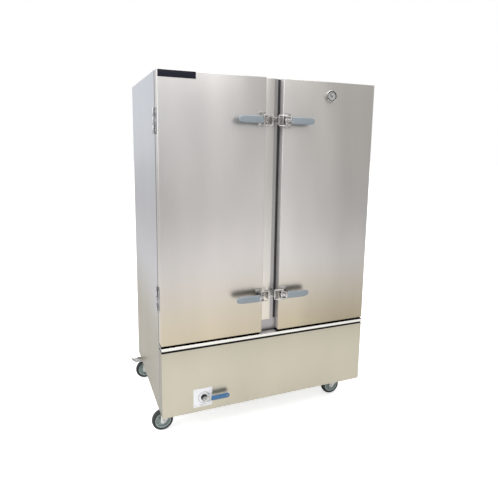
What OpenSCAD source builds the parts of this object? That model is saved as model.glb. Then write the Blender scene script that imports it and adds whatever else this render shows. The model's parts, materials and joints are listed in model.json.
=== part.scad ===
// Two-door steam and proofing cabinet on casters.
// x runs right from the body's left side, y runs back from the door faces and z runs up
// from the underside of the body. in_place() then moves the whole cabinet so that its
// origin is on the floor, in the middle of its outline.

/* [Body] */
// Width of the steel body
cabinet_w = 1034; // [960:1:1250]
// Depth of the body behind the doors
body_d = 660; // [600:1:800]
// Height of the steel body without its casters
cabinet_h = 1500; // [1300:1:1800]
// Height of the lower front panel
base_h = 311; // [280:1:330]
// Thickness of the insulated walls
wall_t = 50; // [44:1:60]
// Thickness of the stainless sheet
skin_t = 1.2; // [1:0.1:2]
// Depth of the door frame's tubes
frame_d = 25; // [20:1:35]
// Wall thickness of the frame tubes and the chassis sheet
tube_t = 1.5; // [1.2:0.1:2.5]
// Height of the frame rail above the top of the opening
top_rail_h = 45; // [40:1:60]
// Height of the frame rail below the opening
bottom_rail_h = 52; // [46:1:60]

/* [Doors] */
// Thickness of each door
door_t = 50; // [40:1:60]
// Width of the left door
left_door_w = 471; // [430:1:520]
// Width of the gap between the two doors
centre_gap = 84; // [76:1:110]
// Gap between the lower panel and the doors
under_gap = 28; // [26:1:50]
// Thickness of the door gaskets
gasket_t = 4.8; // [4:0.1:8]
// Width of the door gaskets
gasket_w = 11; // [8:1:12]
// Distance from a door's edge to its gasket
gasket_inset = 3; // [2:0.5:4]

/* [Centre post] */
// How far the post's face lies behind the door faces
post_face_y = 28; // [24:1:34]
// Width of the post's face between the doors
post_w = 65; // [58:1:70]
// Width of the cover strip on the post
strip_w = 43; // [36:1:50]
// How far the cover strip stands in front of the post
strip_t = 15; // [10:1:18]
// Width of the post's base behind the doors
post_base_w = 115; // [112:1:116]

/* [Drip gutter] */
// Height of the gutter's front lip
gutter_lip_h = 13; // [8:1:20]
// How far the lip stands in front of the panel
gutter_out = 6; // [3:0.5:12]
// Gap between the lower panel and the gutter
lip_gap = 7; // [2:0.5:9]

/* [Hinges] */
// Distance from a door's middle height to each hinge
hinge_offset = 380; // [300:1:420]
// Height of a hinge
hinge_h = 105; // [80:1:130]
// Outer radius of the knuckles
knuckle_r = 5.5; // [5:0.1:6]
// Radius of the hinge pins
hinge_pin_r = 3; // [2.5:0.1:3.5]
// Width of a hinge leaf
leaf_w = 26; // [20:1:28]

/* [Latches] */
// Distance from a door's end to its latch
latch_inset = 182; // [150:1:240]
// Distance from the latch centre line to the lever's pivot
pivot_out = 52; // [50:0.5:54]
// Distance from the door face to the lever's pivot
pivot_y = 17; // [16:0.5:19]
// Radius of the pivot pin
latch_pin_r = 4; // [3:0.1:4.5]
// Radius of the lever's cheeks
cheek_r = 11; // [10.5:0.1:11.5]
// Distance from the pivot to the bail's holes, away from the centre
bail_out = 6; // [5:0.5:7]
// Distance from the pivot to the bail's holes, away from the door
bail_front = 4.5; // [4:0.5:5.5]
// Radius of the bail's wire
wire_r = 2; // [1.5:0.1:2.2]
// Height of the bail between its two wires
bail_h = 44; // [42:1:50]
// Distance from the centre line to the bail's hooked end
bail_end = 15; // [14.5:0.5:16]
// Length of the grip
grip_l = 113; // [95:1:125]
// Height of the grip
grip_h = 31; // [28:1:40]
// Thickness of the grip
grip_t = 13; // [11:0.5:16]
// Distance from the door face to the grip's outer face
grip_front = 43; // [42:0.5:50]

/* [Casters] */
// Diameter of the wheels
wheel_d = 100; // [90:1:104]
// Width of the tyres
wheel_w = 32; // [26:1:36]
// Height from the floor to the underside of the body
caster_h = 125; // [124:1:150]
// Distance from the swivel axis back to the wheel's axle
caster_trail = 38; // [30:1:42]
// Distance from the body's side to a caster's swivel axis
caster_x = 60; // [54:1:110]
// Distance from the body's front to the front swivel axes
caster_front = 65; // [60:1:90]
// Distance from the body's back to the rear swivel axes
caster_rear = 70; // [60:1:110]
// Distance from the swivel axis to the brake pedal's tip
pedal_reach = 112; // [106:1:125]

/* [Tray racks] */
// Number of tray levels
tray_levels = 12; // [6:1:14]
// Clear width between the two rails of a tray
tray_span = 401; // [340:1:401]
// Width of a rail's ledge
ledge_w = 20; // [15:1:25]
// Height of a rail's leg
rail_leg = 14; // [10:1:18]
// Thickness of the flat rack posts
rack_post = 3; // [2:0.5:4]
// Width of the flat rack posts
rack_post_w = 25; // [20:1:30]

/* [Water tank and heaters] */
// Height of the tank's floor above the underside of the body
tank_z = 120; // [112:1:150]
// Distance between the tank's sides and the chamber's walls
tank_gap = 15; // [10:1:30]
// Height of the heaters above the tank's floor
heater_rise = 35; // [28:1:50]
// Length of a heater inside the tank
heater_l = 470; // [350:1:500]
// Radius of the heater tubes
heater_r = 5.5; // [4:0.5:6]
// Length of the float's arm
float_arm_l = 150; // [120:1:170]
// Radius of the float
float_r = 30; // [25:1:38]

/* [Drain valve] */
// Distance from the body's left side to the valve's axis
valve_x = 190; // [186:1:300]
// Height of the valve's stem above the underside of the body
valve_z = 68; // [60:1:74]
// Distance from the lower panel's face to the drain pipe's axis
drain_y = 102; // [100:1:140]
// Outer radius of the drain pipe
drain_r = 13.45; // [12:0.05:14]
// Inner radius of the drain pipe
drain_bore_r = 10.5; // [9:0.1:10.8]
// Width and height of the valve's plate
valve_plate_w = 88; // [70:1:100]
// Length of the valve's lever from the stem to its tip
lever_l = 116; // [90:1:125]
// Distance from the lower panel's face to the lever
lever_y = 22; // [18:1:30]

/* [Thermometer and name plate] */
// Distance from the right door's hinge side to the thermometer
gauge_x = 240; // [200:1:260]
// Distance from the top of the door to the thermometer
gauge_down = 64; // [60:1:90]
// Radius of the thermometer's case
gauge_r = 27; // [22:1:32]
// Depth of the thermometer's case
gauge_t = 12; // [9:1:16]
// Width of the name plate
plate_w = 155; // [100:1:200]
// Height of the name plate
plate_h = 28; // [20:1:36]

/* [Hidden] */

// Clearances
running = 0.05;       // radial play of a pin in its bore
part_gap = 0.02;      // gap that keeps two fixed pieces of one node apart
side_play = 0.5;      // gap between pieces that turn beside each other
seal_gap = 0.2;       // gap between a gasket and the frame that it closes on
clear_gap = 1;        // gap between a moving door and the fixed piece beside it
hole_gap = 0.2;       // radial play of a fixed piece in its hole
seam_gap = 1.5;       // open seam between the lower panel's sides and the body's sides
round_fn = 64;

// Depths
body_y = door_t + gasket_t + seal_gap;
frame_y1 = body_y + frame_d;
back_y = body_y + body_d;
chamber_y1 = back_y - wall_t;

// Heights
gutter_z = base_h + lip_gap;
door_z = base_h + under_gap;
door_h = cabinet_h - door_z;
chamber_z = door_z + bottom_rail_h;
ceiling_z = cabinet_h - skin_t - top_rail_h;

// Doors and the centre line of the latches
right_door_x = left_door_w + centre_gap;
right_door_w = cabinet_w - right_door_x;
centre_x = left_door_w + centre_gap / 2;
latch_zs = [door_z + latch_inset, cabinet_h - latch_inset];
hinge_zs = [door_z + door_h / 2 - hinge_offset, door_z + door_h / 2 + hinge_offset];

// Centre post
post_x0 = left_door_w + 3;
post_x1 = post_x0 + post_w;
strip_y = post_face_y - strip_t;
foot_z1 = chamber_z + 3;
seal_x1 = right_door_x - clear_gap;
seal_y0 = post_face_y + 8;

// Hinges: the axis stands outside the body's side, on the joint between door and body
knuckle_out = knuckle_r + 0.5;
hinge_y = (door_t + body_y) / 2;
leaf_t = 2;
leaf_start = knuckle_r + 0.7;
knuckle_h = hinge_h / 3;

// Latches
ear_z0 = 9;
ear_t = 4;
cheek_z0 = ear_z0 + ear_t + side_play;
cheek_z1 = cheek_z0 + 4;
ear_r = 7;
base_edge = 2;
base_w = 34;
base_half_h = 34;
base_t = 3;
screw_z = 29;
strip_core_t = 4;
core_front = grip_front - 4;
lip_t = 2.5;
lip_in = bail_end + wire_r + 1.5;
keeper_h = 34;
bail_y = 14;
keeper_front = bail_y + 2;

// Casters
wheel_r = wheel_d / 2;
axle_z = -(caster_h - wheel_r);
top_plate_t = 4;
cup_h = 10;
crown_t = 5.7;
crown_z1 = -(top_plate_t + cup_h + side_play);
crown_z0 = crown_z1 - crown_t;
crown_r = 31;
kingpin_r = 6;
axle_r = 4;
leg_y0 = wheel_w / 2 + 2.5;
leg_t = 3;
pedal_pivot_x = -41;
pedal_pivot_z = crown_z1 - 2.5;
pedal_pin_r = 3;
pedal_boss_r = 5.2;
bolt_r = 4;
bolt_dx = 40;
bolt_dy = 30;
caster_ys = [body_y + caster_front, back_y - caster_rear];
caster_xs = [caster_x, cabinet_w - caster_x];

// Chassis
pan_t = 2;
channel_w = 100;
channel_h = 25;
leg_w = 30;
tank_x0 = wall_t + tank_gap;
tank_x1 = cabinet_w - tank_x0;
tank_y0 = frame_y1 + 4;
tank_y1 = chamber_y1 - 4;

// Tray racks
rack_y0 = frame_y1 + 22;
rack_y1 = chamber_y1 - 8;
bearer_h = 12;
rail_t = 1.5;
rack_z0 = chamber_z + bearer_h;
rack_z1 = ceiling_z - 4;
tray_pitch = (rack_z1 - rack_z0) / tray_levels;

// Heaters and float
heater_z = tank_z + heater_rise;
heater_gap = 60;
heater_xs = [for (i = [0:2]) tank_x0 + (i + 0.5) * (tank_x1 - tank_x0) / 3];
inlet_r = 10.45;
inlet_z = chamber_z - 85;
inlet_x = tank_x1 - 70;
inlet_out = 22;
inlet_ring = 3;
float_pivot_y = tank_y1 - 40;
float_dip = 25;

// Drain valve
ball_r = 17;
valve_r = 24;
stem_r = 6;
valve_half = 26;
outlet_z = -45;
hose_tail_l = 30;
hose_tail_r = drain_r - 0.75;
valve_hole_r = 14;
seat_gap = 0.3;
lever_t = 3;
lever_half_h = 8;
sleeve_wall = 2;
sleeve_half_h = 11;
sleeve_start = 28;
plate_t = 1;
plate_cx = valve_x - 5;
plate_screw = valve_plate_w / 2 - 8;

// Supply box and vent
gland_r = 10;
gland_x = 700;
gland_z = 62;
cable_r = 6.5;
box_half_w = 60;
box_d = 90;
vent_r = 16.85;
vent_wall = 2.5;
vent_x = cabinet_w / 2;
vent_z = ceiling_z - 60;

// Thermometer
gauge_z = cabinet_h - gauge_down;
gauge_cx = cabinet_w - gauge_x;
probe_r = 4;
probe_y1 = door_t + 30;
dial_recess = 3;

// The outline, which sets the origin
outline_x0 = min(caster_x - pedal_reach, -2 * knuckle_out);
outline_x1 = cabinet_w + 2 * knuckle_out;
outline_y0 = -grip_front;
outline_y1 = back_y + inlet_out;

module in_place() {
    translate([-(outline_x0 + outline_x1) / 2, -(outline_y0 + outline_y1) / 2, caster_h]) children();
}

// A box between two corners
module block(x0, x1, y0, y1, z0, z1) {
    translate([x0, y0, z0]) cube([x1 - x0, y1 - y0, z1 - z0]);
}

// A rod along y between two depths
module rod_y(r, x, z, y0, y1) {
    translate([x, y0, z]) rotate([-90, 0, 0]) cylinder(r = r, h = y1 - y0, $fn = round_fn);
}

// A rod along z between two heights
module rod_z(r, x, y, z0, z1) {
    translate([x, y, z0]) cylinder(r = r, h = z1 - z0, $fn = round_fn);
}

// The same piece on the other side of the body
module on_right() {
    translate([cabinet_w, 0, 0]) mirror([1, 0, 0]) children();
}

// ---- Body ----

module side_sheet() {
    block(0, skin_t, body_y, back_y, 0, cabinet_h - skin_t);
}

module left_side_panel() {
    color("lightgray") in_place() side_sheet();
}

module right_side_panel() {
    color("lightgray") in_place() on_right() side_sheet();
}

module top_panel() {
    color("lightgray") in_place()
        block(0, cabinet_w, body_y, back_y, cabinet_h - skin_t, cabinet_h);
}

module back_panel() {
    color("silver") in_place() difference() {
        block(skin_t, cabinet_w - skin_t, back_y - skin_t, back_y, 0, cabinet_h - skin_t);
        rod_y(vent_r + hole_gap, vent_x, vent_z, back_y - 5, back_y + 5);
        rod_y(inlet_r + hole_gap, inlet_x, inlet_z, back_y - 5, back_y + 5);
        rod_y(gland_r + hole_gap, gland_x, gland_z, back_y - 5, back_y + 5);
    }
}

// Floor pan, two channels over the casters and four legs under the tank
module chassis() {
    color("gray") in_place() {
        difference() {
            block(skin_t, cabinet_w - skin_t, body_y, back_y - skin_t, 0, pan_t);
            caster_bolt_holes();
            rod_z(drain_r + hole_gap, valve_x, drain_y, -5, pan_t + 5);
        }
        for (x = caster_xs) difference() {
            block(x - channel_w / 2, x + channel_w / 2, frame_y1 + 2, back_y - 8, pan_t + part_gap,
                pan_t + channel_h);
            block(x - channel_w / 2 + tube_t, x + channel_w / 2 - tube_t, body_y, back_y,
                pan_t + tube_t, pan_t + channel_h + 1);
            caster_bolt_holes();
        }
        for (x = [tank_x0 + channel_w, tank_x1 - channel_w - leg_w],
             y = [tank_y0 + 45, tank_y1 - leg_w - 10])
            difference() {
                block(x, x + leg_w, y, y + leg_w, pan_t + part_gap, tank_z);
                block(x + tube_t, x + leg_w + 1, y + tube_t, y + leg_w + 1, pan_t - 1, tank_z + 1);
            }
    }
}

module caster_bolt_holes() {
    for (x = caster_xs, y = caster_ys, dx = [-bolt_dx, bolt_dx], dy = [-bolt_dy, bolt_dy])
        rod_z(bolt_r + hole_gap, x + dx, y + dy, -20, pan_t + channel_h / 2);
}

module base_front_panel() {
    color("tan") in_place() difference() {
        block(0, cabinet_w, 0, body_y, 0, base_h);
        block(skin_t, cabinet_w - skin_t, skin_t, body_y + 1, skin_t, base_h - skin_t);
        block(-1, cabinet_w + 1, body_y - seam_gap, body_y + 1, skin_t, base_h - skin_t);
        rod_y(valve_hole_r, valve_x, valve_z, -5, 5);
    }
}

// Sloping trough that catches what drips off the doors
module drip_gutter() {
    back_z = door_z - 2;
    color("white") in_place() {
        rotate([90, 0, 90]) linear_extrude(cabinet_w) polygon([
            [-gutter_out, gutter_z], [-gutter_out, gutter_z + gutter_lip_h],
            [-gutter_out + tube_t, gutter_z + gutter_lip_h], [-gutter_out + tube_t, gutter_z + tube_t],
            [tube_t, gutter_z + tube_t], [body_y - tube_t, back_z - 8], [body_y - tube_t, back_z],
            [body_y, back_z], [body_y, back_z - 10], [2 * tube_t, gutter_z]]);
        for (x = [0, cabinet_w - tube_t])
            translate([x, 0, 0]) rotate([90, 0, 90]) linear_extrude(tube_t) polygon([
                [-gutter_out, gutter_z], [-gutter_out, gutter_z + gutter_lip_h], [body_y, back_z],
                [body_y, gutter_z]]);
    }
}

// A square tube along z
module tube_z(x0, x1, y0, y1, z0, z1) {
    difference() {
        block(x0, x1, y0, y1, z0, z1);
        block(x0 + tube_t, x1 - tube_t, y0 + tube_t, y1 - tube_t, z0 - 1, z1 + 1);
    }
}

// A square tube along x
module tube_x(x0, x1, y0, y1, z0, z1) {
    difference() {
        block(x0, x1, y0, y1, z0, z1);
        block(x0 - 1, x1 + 1, y0 + tube_t, y1 - tube_t, z0 + tube_t, z1 - tube_t);
    }
}

module front_frame() {
    color("silver") in_place() {
        tube_z(skin_t, wall_t, body_y, frame_y1, pan_t, cabinet_h - skin_t);
        tube_z(cabinet_w - wall_t, cabinet_w - skin_t, body_y, frame_y1, pan_t, cabinet_h - skin_t);
        for (z = [[ceiling_z, cabinet_h - skin_t], [door_z, chamber_z]])
            tube_x(wall_t + part_gap, cabinet_w - wall_t - part_gap, body_y, frame_y1, z[0], z[1]);
    }
}

module centre_post() {
    color("silver") in_place() {
        tube_z(centre_x - post_base_w / 2, centre_x + post_base_w / 2, body_y, frame_y1,
            chamber_z, ceiling_z);
        difference() {
            union() {
                block(post_x0, post_x1, post_face_y, body_y, door_z, cabinet_h - skin_t);
                block(post_x0, seal_x1, post_face_y, body_y, door_z, foot_z1);
            }
            block(post_x0 + tube_t, post_x1 - tube_t, post_face_y + tube_t, body_y + 1,
                door_z + tube_t, cabinet_h - skin_t - tube_t);
        }
    }
}

module post_cover_strip() {
    color("lightgray") in_place() difference() {
        block(post_x0, post_x0 + strip_w, strip_y, post_face_y, foot_z1, cabinet_h - skin_t);
        block(post_x0 + skin_t, post_x0 + strip_w - skin_t, strip_y + skin_t, post_face_y + 1,
            foot_z1 + skin_t, cabinet_h - 2 * skin_t);
    }
}

// Rubber strip that closes the slot beside the post
module post_seal() {
    color("#202020") in_place()
        block(post_x1, seal_x1, seal_y0, body_y, foot_z1, cabinet_h - skin_t);
}

// Each keeper is a channel with a lip for the left bail and one for the right bail
module latch_keepers() {
    out = lip_in + lip_t;
    base_y = strip_y - base_t;
    color("gainsboro") in_place() for (z = latch_zs) difference() {
        union() {
            block(centre_x - out, centre_x + out, base_y, strip_y, z - keeper_h / 2, z + keeper_h / 2);
            for (x = [centre_x - out, centre_x + lip_in])
                block(x, x + lip_t, -keeper_front, strip_y, z - keeper_h / 2, z + keeper_h / 2);
            block(post_x0 + strip_w + side_play, centre_x + out, strip_y, post_face_y,
                z - keeper_h / 2, z + keeper_h / 2);
        }
        for (dz = [-10, 10])
            rod_y(2.5, centre_x + lip_in - 6, z + dz, base_y - 1, post_face_y + 1);
    }
}

// Side walls, back wall and ceiling of the chamber
module chamber_liner() {
    color("whitesmoke") in_place() {
        for (x = [wall_t - skin_t, cabinet_w - wall_t])
            block(x, x + skin_t, frame_y1, chamber_y1 - part_gap, chamber_z, ceiling_z - part_gap);
        difference() {
            block(wall_t - skin_t, cabinet_w - wall_t + skin_t, chamber_y1, chamber_y1 + skin_t,
                chamber_z, ceiling_z - part_gap);
            rod_y(vent_r + hole_gap, vent_x, vent_z, chamber_y1 - 5, chamber_y1 + 5);
        }
        block(wall_t - skin_t, cabinet_w - wall_t + skin_t, frame_y1, chamber_y1 + skin_t,
            ceiling_z, ceiling_z + skin_t);
    }
}

module cabinet_insulation() {
    color("khaki") in_place() {
        for (x = [skin_t, cabinet_w - wall_t + skin_t])
            block(x, x + wall_t - 2 * skin_t, frame_y1, back_y - skin_t, chamber_z, cabinet_h - skin_t);
        difference() {
            block(wall_t - skin_t + part_gap, cabinet_w - wall_t + skin_t - part_gap,
                chamber_y1 + skin_t, back_y - skin_t, chamber_z, cabinet_h - skin_t);
            rod_y(vent_r + hole_gap, vent_x, vent_z, chamber_y1, back_y);
        }
        block(wall_t - skin_t + part_gap, cabinet_w - wall_t + skin_t - part_gap, frame_y1,
            chamber_y1 + skin_t - part_gap, ceiling_z + skin_t, cabinet_h - skin_t);
    }
}

// ---- Tray racks ----

// One upright rack: two flat posts and an angle rail for each level, facing along dir
module rack_side(x, dir) {
    translate([x, 0, 0]) mirror([dir > 0 ? 0 : 1, 0, 0]) {
        for (y = [rack_y0, rack_y1 - rack_post_w])
            block(0, rack_post, y, y + rack_post_w, rack_z0 + part_gap, rack_z1);
        for (i = [0:tray_levels - 1]) {
            z = rack_z0 + (i + 0.3) * tray_pitch;
            leg_x = rack_post + part_gap;
            block(leg_x, leg_x + rail_t, rack_y0, rack_y1, z - rail_leg, z);
            block(leg_x, leg_x + rail_t + ledge_w, rack_y0, rack_y1, z - rail_t, z);
        }
    }
}

module tray_racks() {
    rack_w = tray_span + 2 * (rack_post + part_gap + rail_t);
    color("silver") in_place() {
        for (y = [rack_y0, rack_y1 - rack_post_w])
            block(wall_t, cabinet_w - wall_t, y, y + rack_post_w, chamber_z, rack_z0);
        for (side = [0, 1]) translate([side * cabinet_w, 0, 0]) mirror([side, 0, 0]) {
            rack_side(wall_t, 1);
            rack_side(wall_t + rack_w, -1);
        }
    }
}

// ---- Water tank, heaters and float ----

// Welded from flat sheets: a floor, four walls and the rim that the chamber's sheets stand on
module water_tank() {
    floor_z = tank_z + tube_t;
    rim_z = chamber_z - tube_t;
    in_y0 = tank_y0 + tube_t;
    in_y1 = tank_y1 - tube_t;
    rim_x0 = wall_t - skin_t;
    rim_x1 = cabinet_w - wall_t + skin_t;
    color("lightsteelblue") in_place() {
        difference() {
            block(tank_x0, tank_x1, tank_y0, tank_y1, tank_z, floor_z - part_gap);
            rod_z(drain_bore_r, valve_x, drain_y, tank_z - 5, tank_z + 5);
        }
        block(tank_x0, tank_x1, tank_y0, in_y0 - part_gap, floor_z, rim_z - part_gap);
        for (x = [tank_x0, tank_x1 - tube_t])
            block(x, x + tube_t, in_y0, in_y1, floor_z, rim_z - part_gap);
        difference() {
            block(tank_x0, tank_x1, in_y1 + part_gap, tank_y1, floor_z, rim_z - part_gap);
            rod_y(inlet_r + hole_gap, inlet_x, inlet_z, tank_y1 - 5, tank_y1 + 5);
            for (x = heater_xs, dx = [-heater_gap / 2, heater_gap / 2])
                rod_y(heater_r + hole_gap, x + dx, heater_z, tank_y1 - 5, tank_y1 + 5);
        }
        for (y = [[frame_y1, in_y0 - part_gap], [in_y1 + part_gap, chamber_y1 + skin_t]])
            block(rim_x0, rim_x1, y[0], y[1], rim_z, chamber_z);
        for (x = [[rim_x0, tank_x0 + tube_t], [tank_x1 - tube_t, rim_x1]])
            block(x[0], x[1], in_y0, in_y1, rim_z, chamber_z);
    }
}

// Three hairpin heaters, each with its flange on the tank's back wall
module heating_elements() {
    bend_y = tank_y1 - tube_t - heater_l + heater_gap / 2;
    color("dimgray") in_place() for (x = heater_xs) {
        for (dx = [-heater_gap / 2, heater_gap / 2])
            rod_y(heater_r, x + dx, heater_z, bend_y, tank_y1 + 30);
        translate([x, bend_y, heater_z]) rotate([0, 0, 180]) rotate_extrude(angle = 180, $fn = round_fn)
            translate([heater_gap / 2, 0]) circle(r = heater_r, $fn = 32);
        block(x - heater_gap / 2 - 16, x + heater_gap / 2 + 16, tank_y1, tank_y1 + 3,
            heater_z - 20, heater_z + 20);
    }
}

// Inlet pipe through the back, with the float's valve at its end
module float_valve() {
    color("darkgoldenrod") in_place() difference() {
        union() {
            rod_y(inlet_r, inlet_x, inlet_z, float_pivot_y + 12, back_y + inlet_out);
            rod_y(16, inlet_x, inlet_z, tank_y1 - tube_t - 6, tank_y1 - tube_t);
            rod_y(16, inlet_x, inlet_z, tank_y1, tank_y1 + 5);
            rod_y(16, inlet_x, inlet_z, back_y, back_y + inlet_ring);
            for (dx = [-10, 5])
                block(inlet_x + dx, inlet_x + dx + 5, float_pivot_y - 6, float_pivot_y + 14,
                    inlet_z - 6, inlet_z + 6);
        }
        rod_y(inlet_r - 3, inlet_x, inlet_z, float_pivot_y + 30, back_y + inlet_out + 1);
        translate([inlet_x - 20, float_pivot_y, inlet_z]) rotate([0, 90, 0])
            cylinder(r = 2.5 + running, h = 40, $fn = round_fn);
    }
}

// Float arm, hanging at its lowest
module float_arm() {
    color("darkorange") in_place() translate([inlet_x, float_pivot_y, inlet_z]) {
        translate([-10.5, 0, 0]) rotate([0, 90, 0]) cylinder(r = 2.5, h = 21, $fn = round_fn);
        rotate([float_dip, 0, 0]) {
            rotate([90, 0, 0]) cylinder(r = 3, h = float_arm_l - float_r + 3, $fn = 32);
            translate([0, -float_arm_l, 0]) sphere(r = float_r, $fn = round_fn);
        }
    }
}

// ---- Drain valve ----

// Pipe from the tank, the valve's body and the outlet under the cabinet
module drain_line() {
    body_z0 = valve_z - valve_half;
    body_z1 = valve_z + valve_half;
    color("goldenrod") in_place() {
        difference() {
            rod_z(drain_r, valve_x, drain_y, body_z1 + part_gap, tank_z);
            rod_z(drain_bore_r, valve_x, drain_y, valve_z, tank_z + 1);
        }
        difference() {
            union() {
                rod_z(valve_r, valve_x, drain_y, body_z0, body_z1);
                rod_y(13, valve_x, valve_z, drain_y - valve_r - 14, drain_y);
            }
            rod_z(drain_bore_r, valve_x, drain_y, body_z0 - 1, body_z1 + 1);
            translate([valve_x, drain_y, valve_z]) sphere(r = ball_r + seat_gap, $fn = round_fn);
            rod_y(stem_r + running, valve_x, valve_z, drain_y - valve_r - 15, drain_y);
        }
        difference() {
            union() {
                rod_z(drain_r, valve_x, drain_y, outlet_z + hose_tail_l, body_z0 - part_gap);
                rod_z(hose_tail_r, valve_x, drain_y, outlet_z, outlet_z + hose_tail_l);
            }
            rod_z(drain_bore_r, valve_x, drain_y, outlet_z - 1, valve_z);
        }
    }
}

// Places a piece at each corner screw of the valve's plate
module at_plate_screws() {
    for (dx = [-1, 1], dz = [-1, 1])
        translate([plate_cx + dx * plate_screw, 0, valve_z + dz * plate_screw]) children();
}

module valve_plate() {
    half = valve_plate_w / 2;
    color("white") in_place() difference() {
        block(plate_cx - half, plate_cx + half, -plate_t, 0, valve_z - half, valve_z + half);
        rod_y(valve_hole_r, valve_x, valve_z, -5, 5);
        at_plate_screws() rod_y(2, 0, 0, -5, 5);
    }
}

// Ball with its bore across the drain pipe, as it stands when the valve is shut
module valve_ball() {
    half_angle = acos((drain_bore_r - 1) / ball_r);
    steps = 12;
    translate([valve_x, drain_y, valve_z]) rotate([0, 90, 0]) rotate_extrude($fn = round_fn)
        polygon([for (i = [-steps:steps])
            [ball_r * cos(i * half_angle / steps), ball_r * sin(i * half_angle / steps)]]);
}

// Ball and stem with the steel lever, and the plastic sleeve on the lever
module valve_lever() {
    sleeve_x = valve_x + sleeve_start;
    tip_x = valve_x + lever_l - sleeve_half_h;
    core_x1 = tip_x - 8;
    core_y0 = -lever_y - lever_t / 2;
    core_y1 = -lever_y + lever_t / 2;
    sleeve_y0 = core_y0 - sleeve_wall;
    sleeve_y1 = core_y1 + sleeve_wall;
    color("steelblue") in_place() {
        union() {
            valve_ball();
            rod_y(stem_r, valve_x, valve_z, -lever_y - 8, drain_y - ball_r + 3);
            rod_y(10, valve_x, valve_z, -lever_y - 7, -lever_y + 4);
            block(valve_x, core_x1, core_y0, core_y1, valve_z - lever_half_h, valve_z + lever_half_h);
        }
        difference() {
            union() {
                block(sleeve_x, tip_x, sleeve_y0, sleeve_y1, valve_z - sleeve_half_h,
                    valve_z + sleeve_half_h);
                rod_y(sleeve_half_h, tip_x, valve_z, sleeve_y0, sleeve_y1);
            }
            block(sleeve_x - 1, core_x1 + part_gap, core_y0 - part_gap, core_y1 + part_gap,
                valve_z - lever_half_h - part_gap, valve_z + lever_half_h + part_gap);
            rod_y(3.5, tip_x, valve_z, sleeve_y0 - 1, sleeve_y1 + 1);
        }
    }
}

// ---- Supply box and vent ----

module terminal_box() {
    in_y = back_y - skin_t;
    color("gray") in_place() {
        difference() {
            block(gland_x - box_half_w, gland_x + box_half_w, in_y - box_d, in_y, gland_z - 32, gland_z + 38);
            block(gland_x - box_half_w + 2, gland_x + box_half_w - 2, in_y - box_d + 2, in_y - 2,
                gland_z - 30, gland_z + 36);
            rod_y(gland_r + hole_gap, gland_x, gland_z, in_y - 5, in_y + 1);
        }
        difference() {
            union() {
                rod_y(gland_r, gland_x, gland_z, in_y - 12, back_y + 4);
                translate([gland_x, back_y, gland_z]) rotate([-90, 0, 0]) cylinder(r = 15, h = 8, $fn = 6);
                rod_y(12.5, gland_x, gland_z, back_y + 8, back_y + 20);
            }
            rod_y(cable_r, gland_x, gland_z, in_y - 20, back_y + 30);
        }
    }
}

module steam_vent() {
    color("silver") in_place() difference() {
        union() {
            rod_y(vent_r, vent_x, vent_z, chamber_y1, back_y + 20);
            rod_y(26, vent_x, vent_z, back_y, back_y + 2);
            rod_y(26, vent_x, vent_z, chamber_y1 - 2, chamber_y1);
        }
        rod_y(vent_r - vent_wall, vent_x, vent_z, chamber_y1 - 10, back_y + 30);
    }
}

// ---- Casters ----

// Moves a piece from a caster's own axis to its place under the body
module at_caster(side, row) {
    in_place() translate([caster_xs[side], caster_ys[row], 0]) children();
}

module caster_plates() {
    color("silver") for (side = [0, 1], row = [0, 1]) at_caster(side, row) {
        difference() {
            union() {
                block(-50, 50, -42, 42, -top_plate_t, 0);
                rod_z(29, 0, 0, -top_plate_t - cup_h, -top_plate_t);
            }
            for (dx = [-bolt_dx, bolt_dx], dy = [-bolt_dy, bolt_dy])
                rod_z(bolt_r + hole_gap, dx, dy, -20, 1);
            rod_z(kingpin_r, 0, 0, -50, 1);
        }
        rod_z(kingpin_r, 0, 0, crown_z0 - side_play, 0);
        rod_z(10, 0, 0, crown_z0 - side_play - 3, crown_z0 - side_play);
    }
}

// Fork with its axle and, on the braked casters, the pedal's pin
module fork(side, row, braked) {
    color("silver") at_caster(side, row) {
        difference() {
            union() {
                rod_z(crown_r, 0, 0, crown_z0, crown_z1);
                for (y = [-leg_y0 - leg_t, leg_y0]) {
                    translate([0, y + leg_t, 0]) rotate([90, 0, 0]) linear_extrude(leg_t) polygon([
                        [pedal_pivot_x - 6, crown_z1], [22, crown_z1], [22, crown_z0 - 6],
                        [-caster_trail + 13, axle_z], [-caster_trail - 13, axle_z],
                        [pedal_pivot_x - 8, crown_z0 - 4]]);
                    rod_y(13, -caster_trail, axle_z, y, y + leg_t);
                }
                if (braked)
                    rod_y(pedal_pin_r, pedal_pivot_x, pedal_pivot_z, -leg_y0, leg_y0);
            }
            rod_z(kingpin_r + running, 0, 0, crown_z0 - 1, crown_z1 + 1);
            rod_y(axle_r + part_gap, -caster_trail, axle_z, -leg_y0 - 5, leg_y0 + 5);
        }
        nut_y = leg_y0 + leg_t + part_gap;
        rod_y(axle_r, -caster_trail, axle_z, -nut_y, nut_y);
        rod_y(7, -caster_trail, axle_z, -nut_y - 5, -nut_y);
        translate([-caster_trail, nut_y, axle_z]) rotate([-90, 0, 0]) cylinder(r = 7, h = 6, $fn = 6);
    }
}

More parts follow.
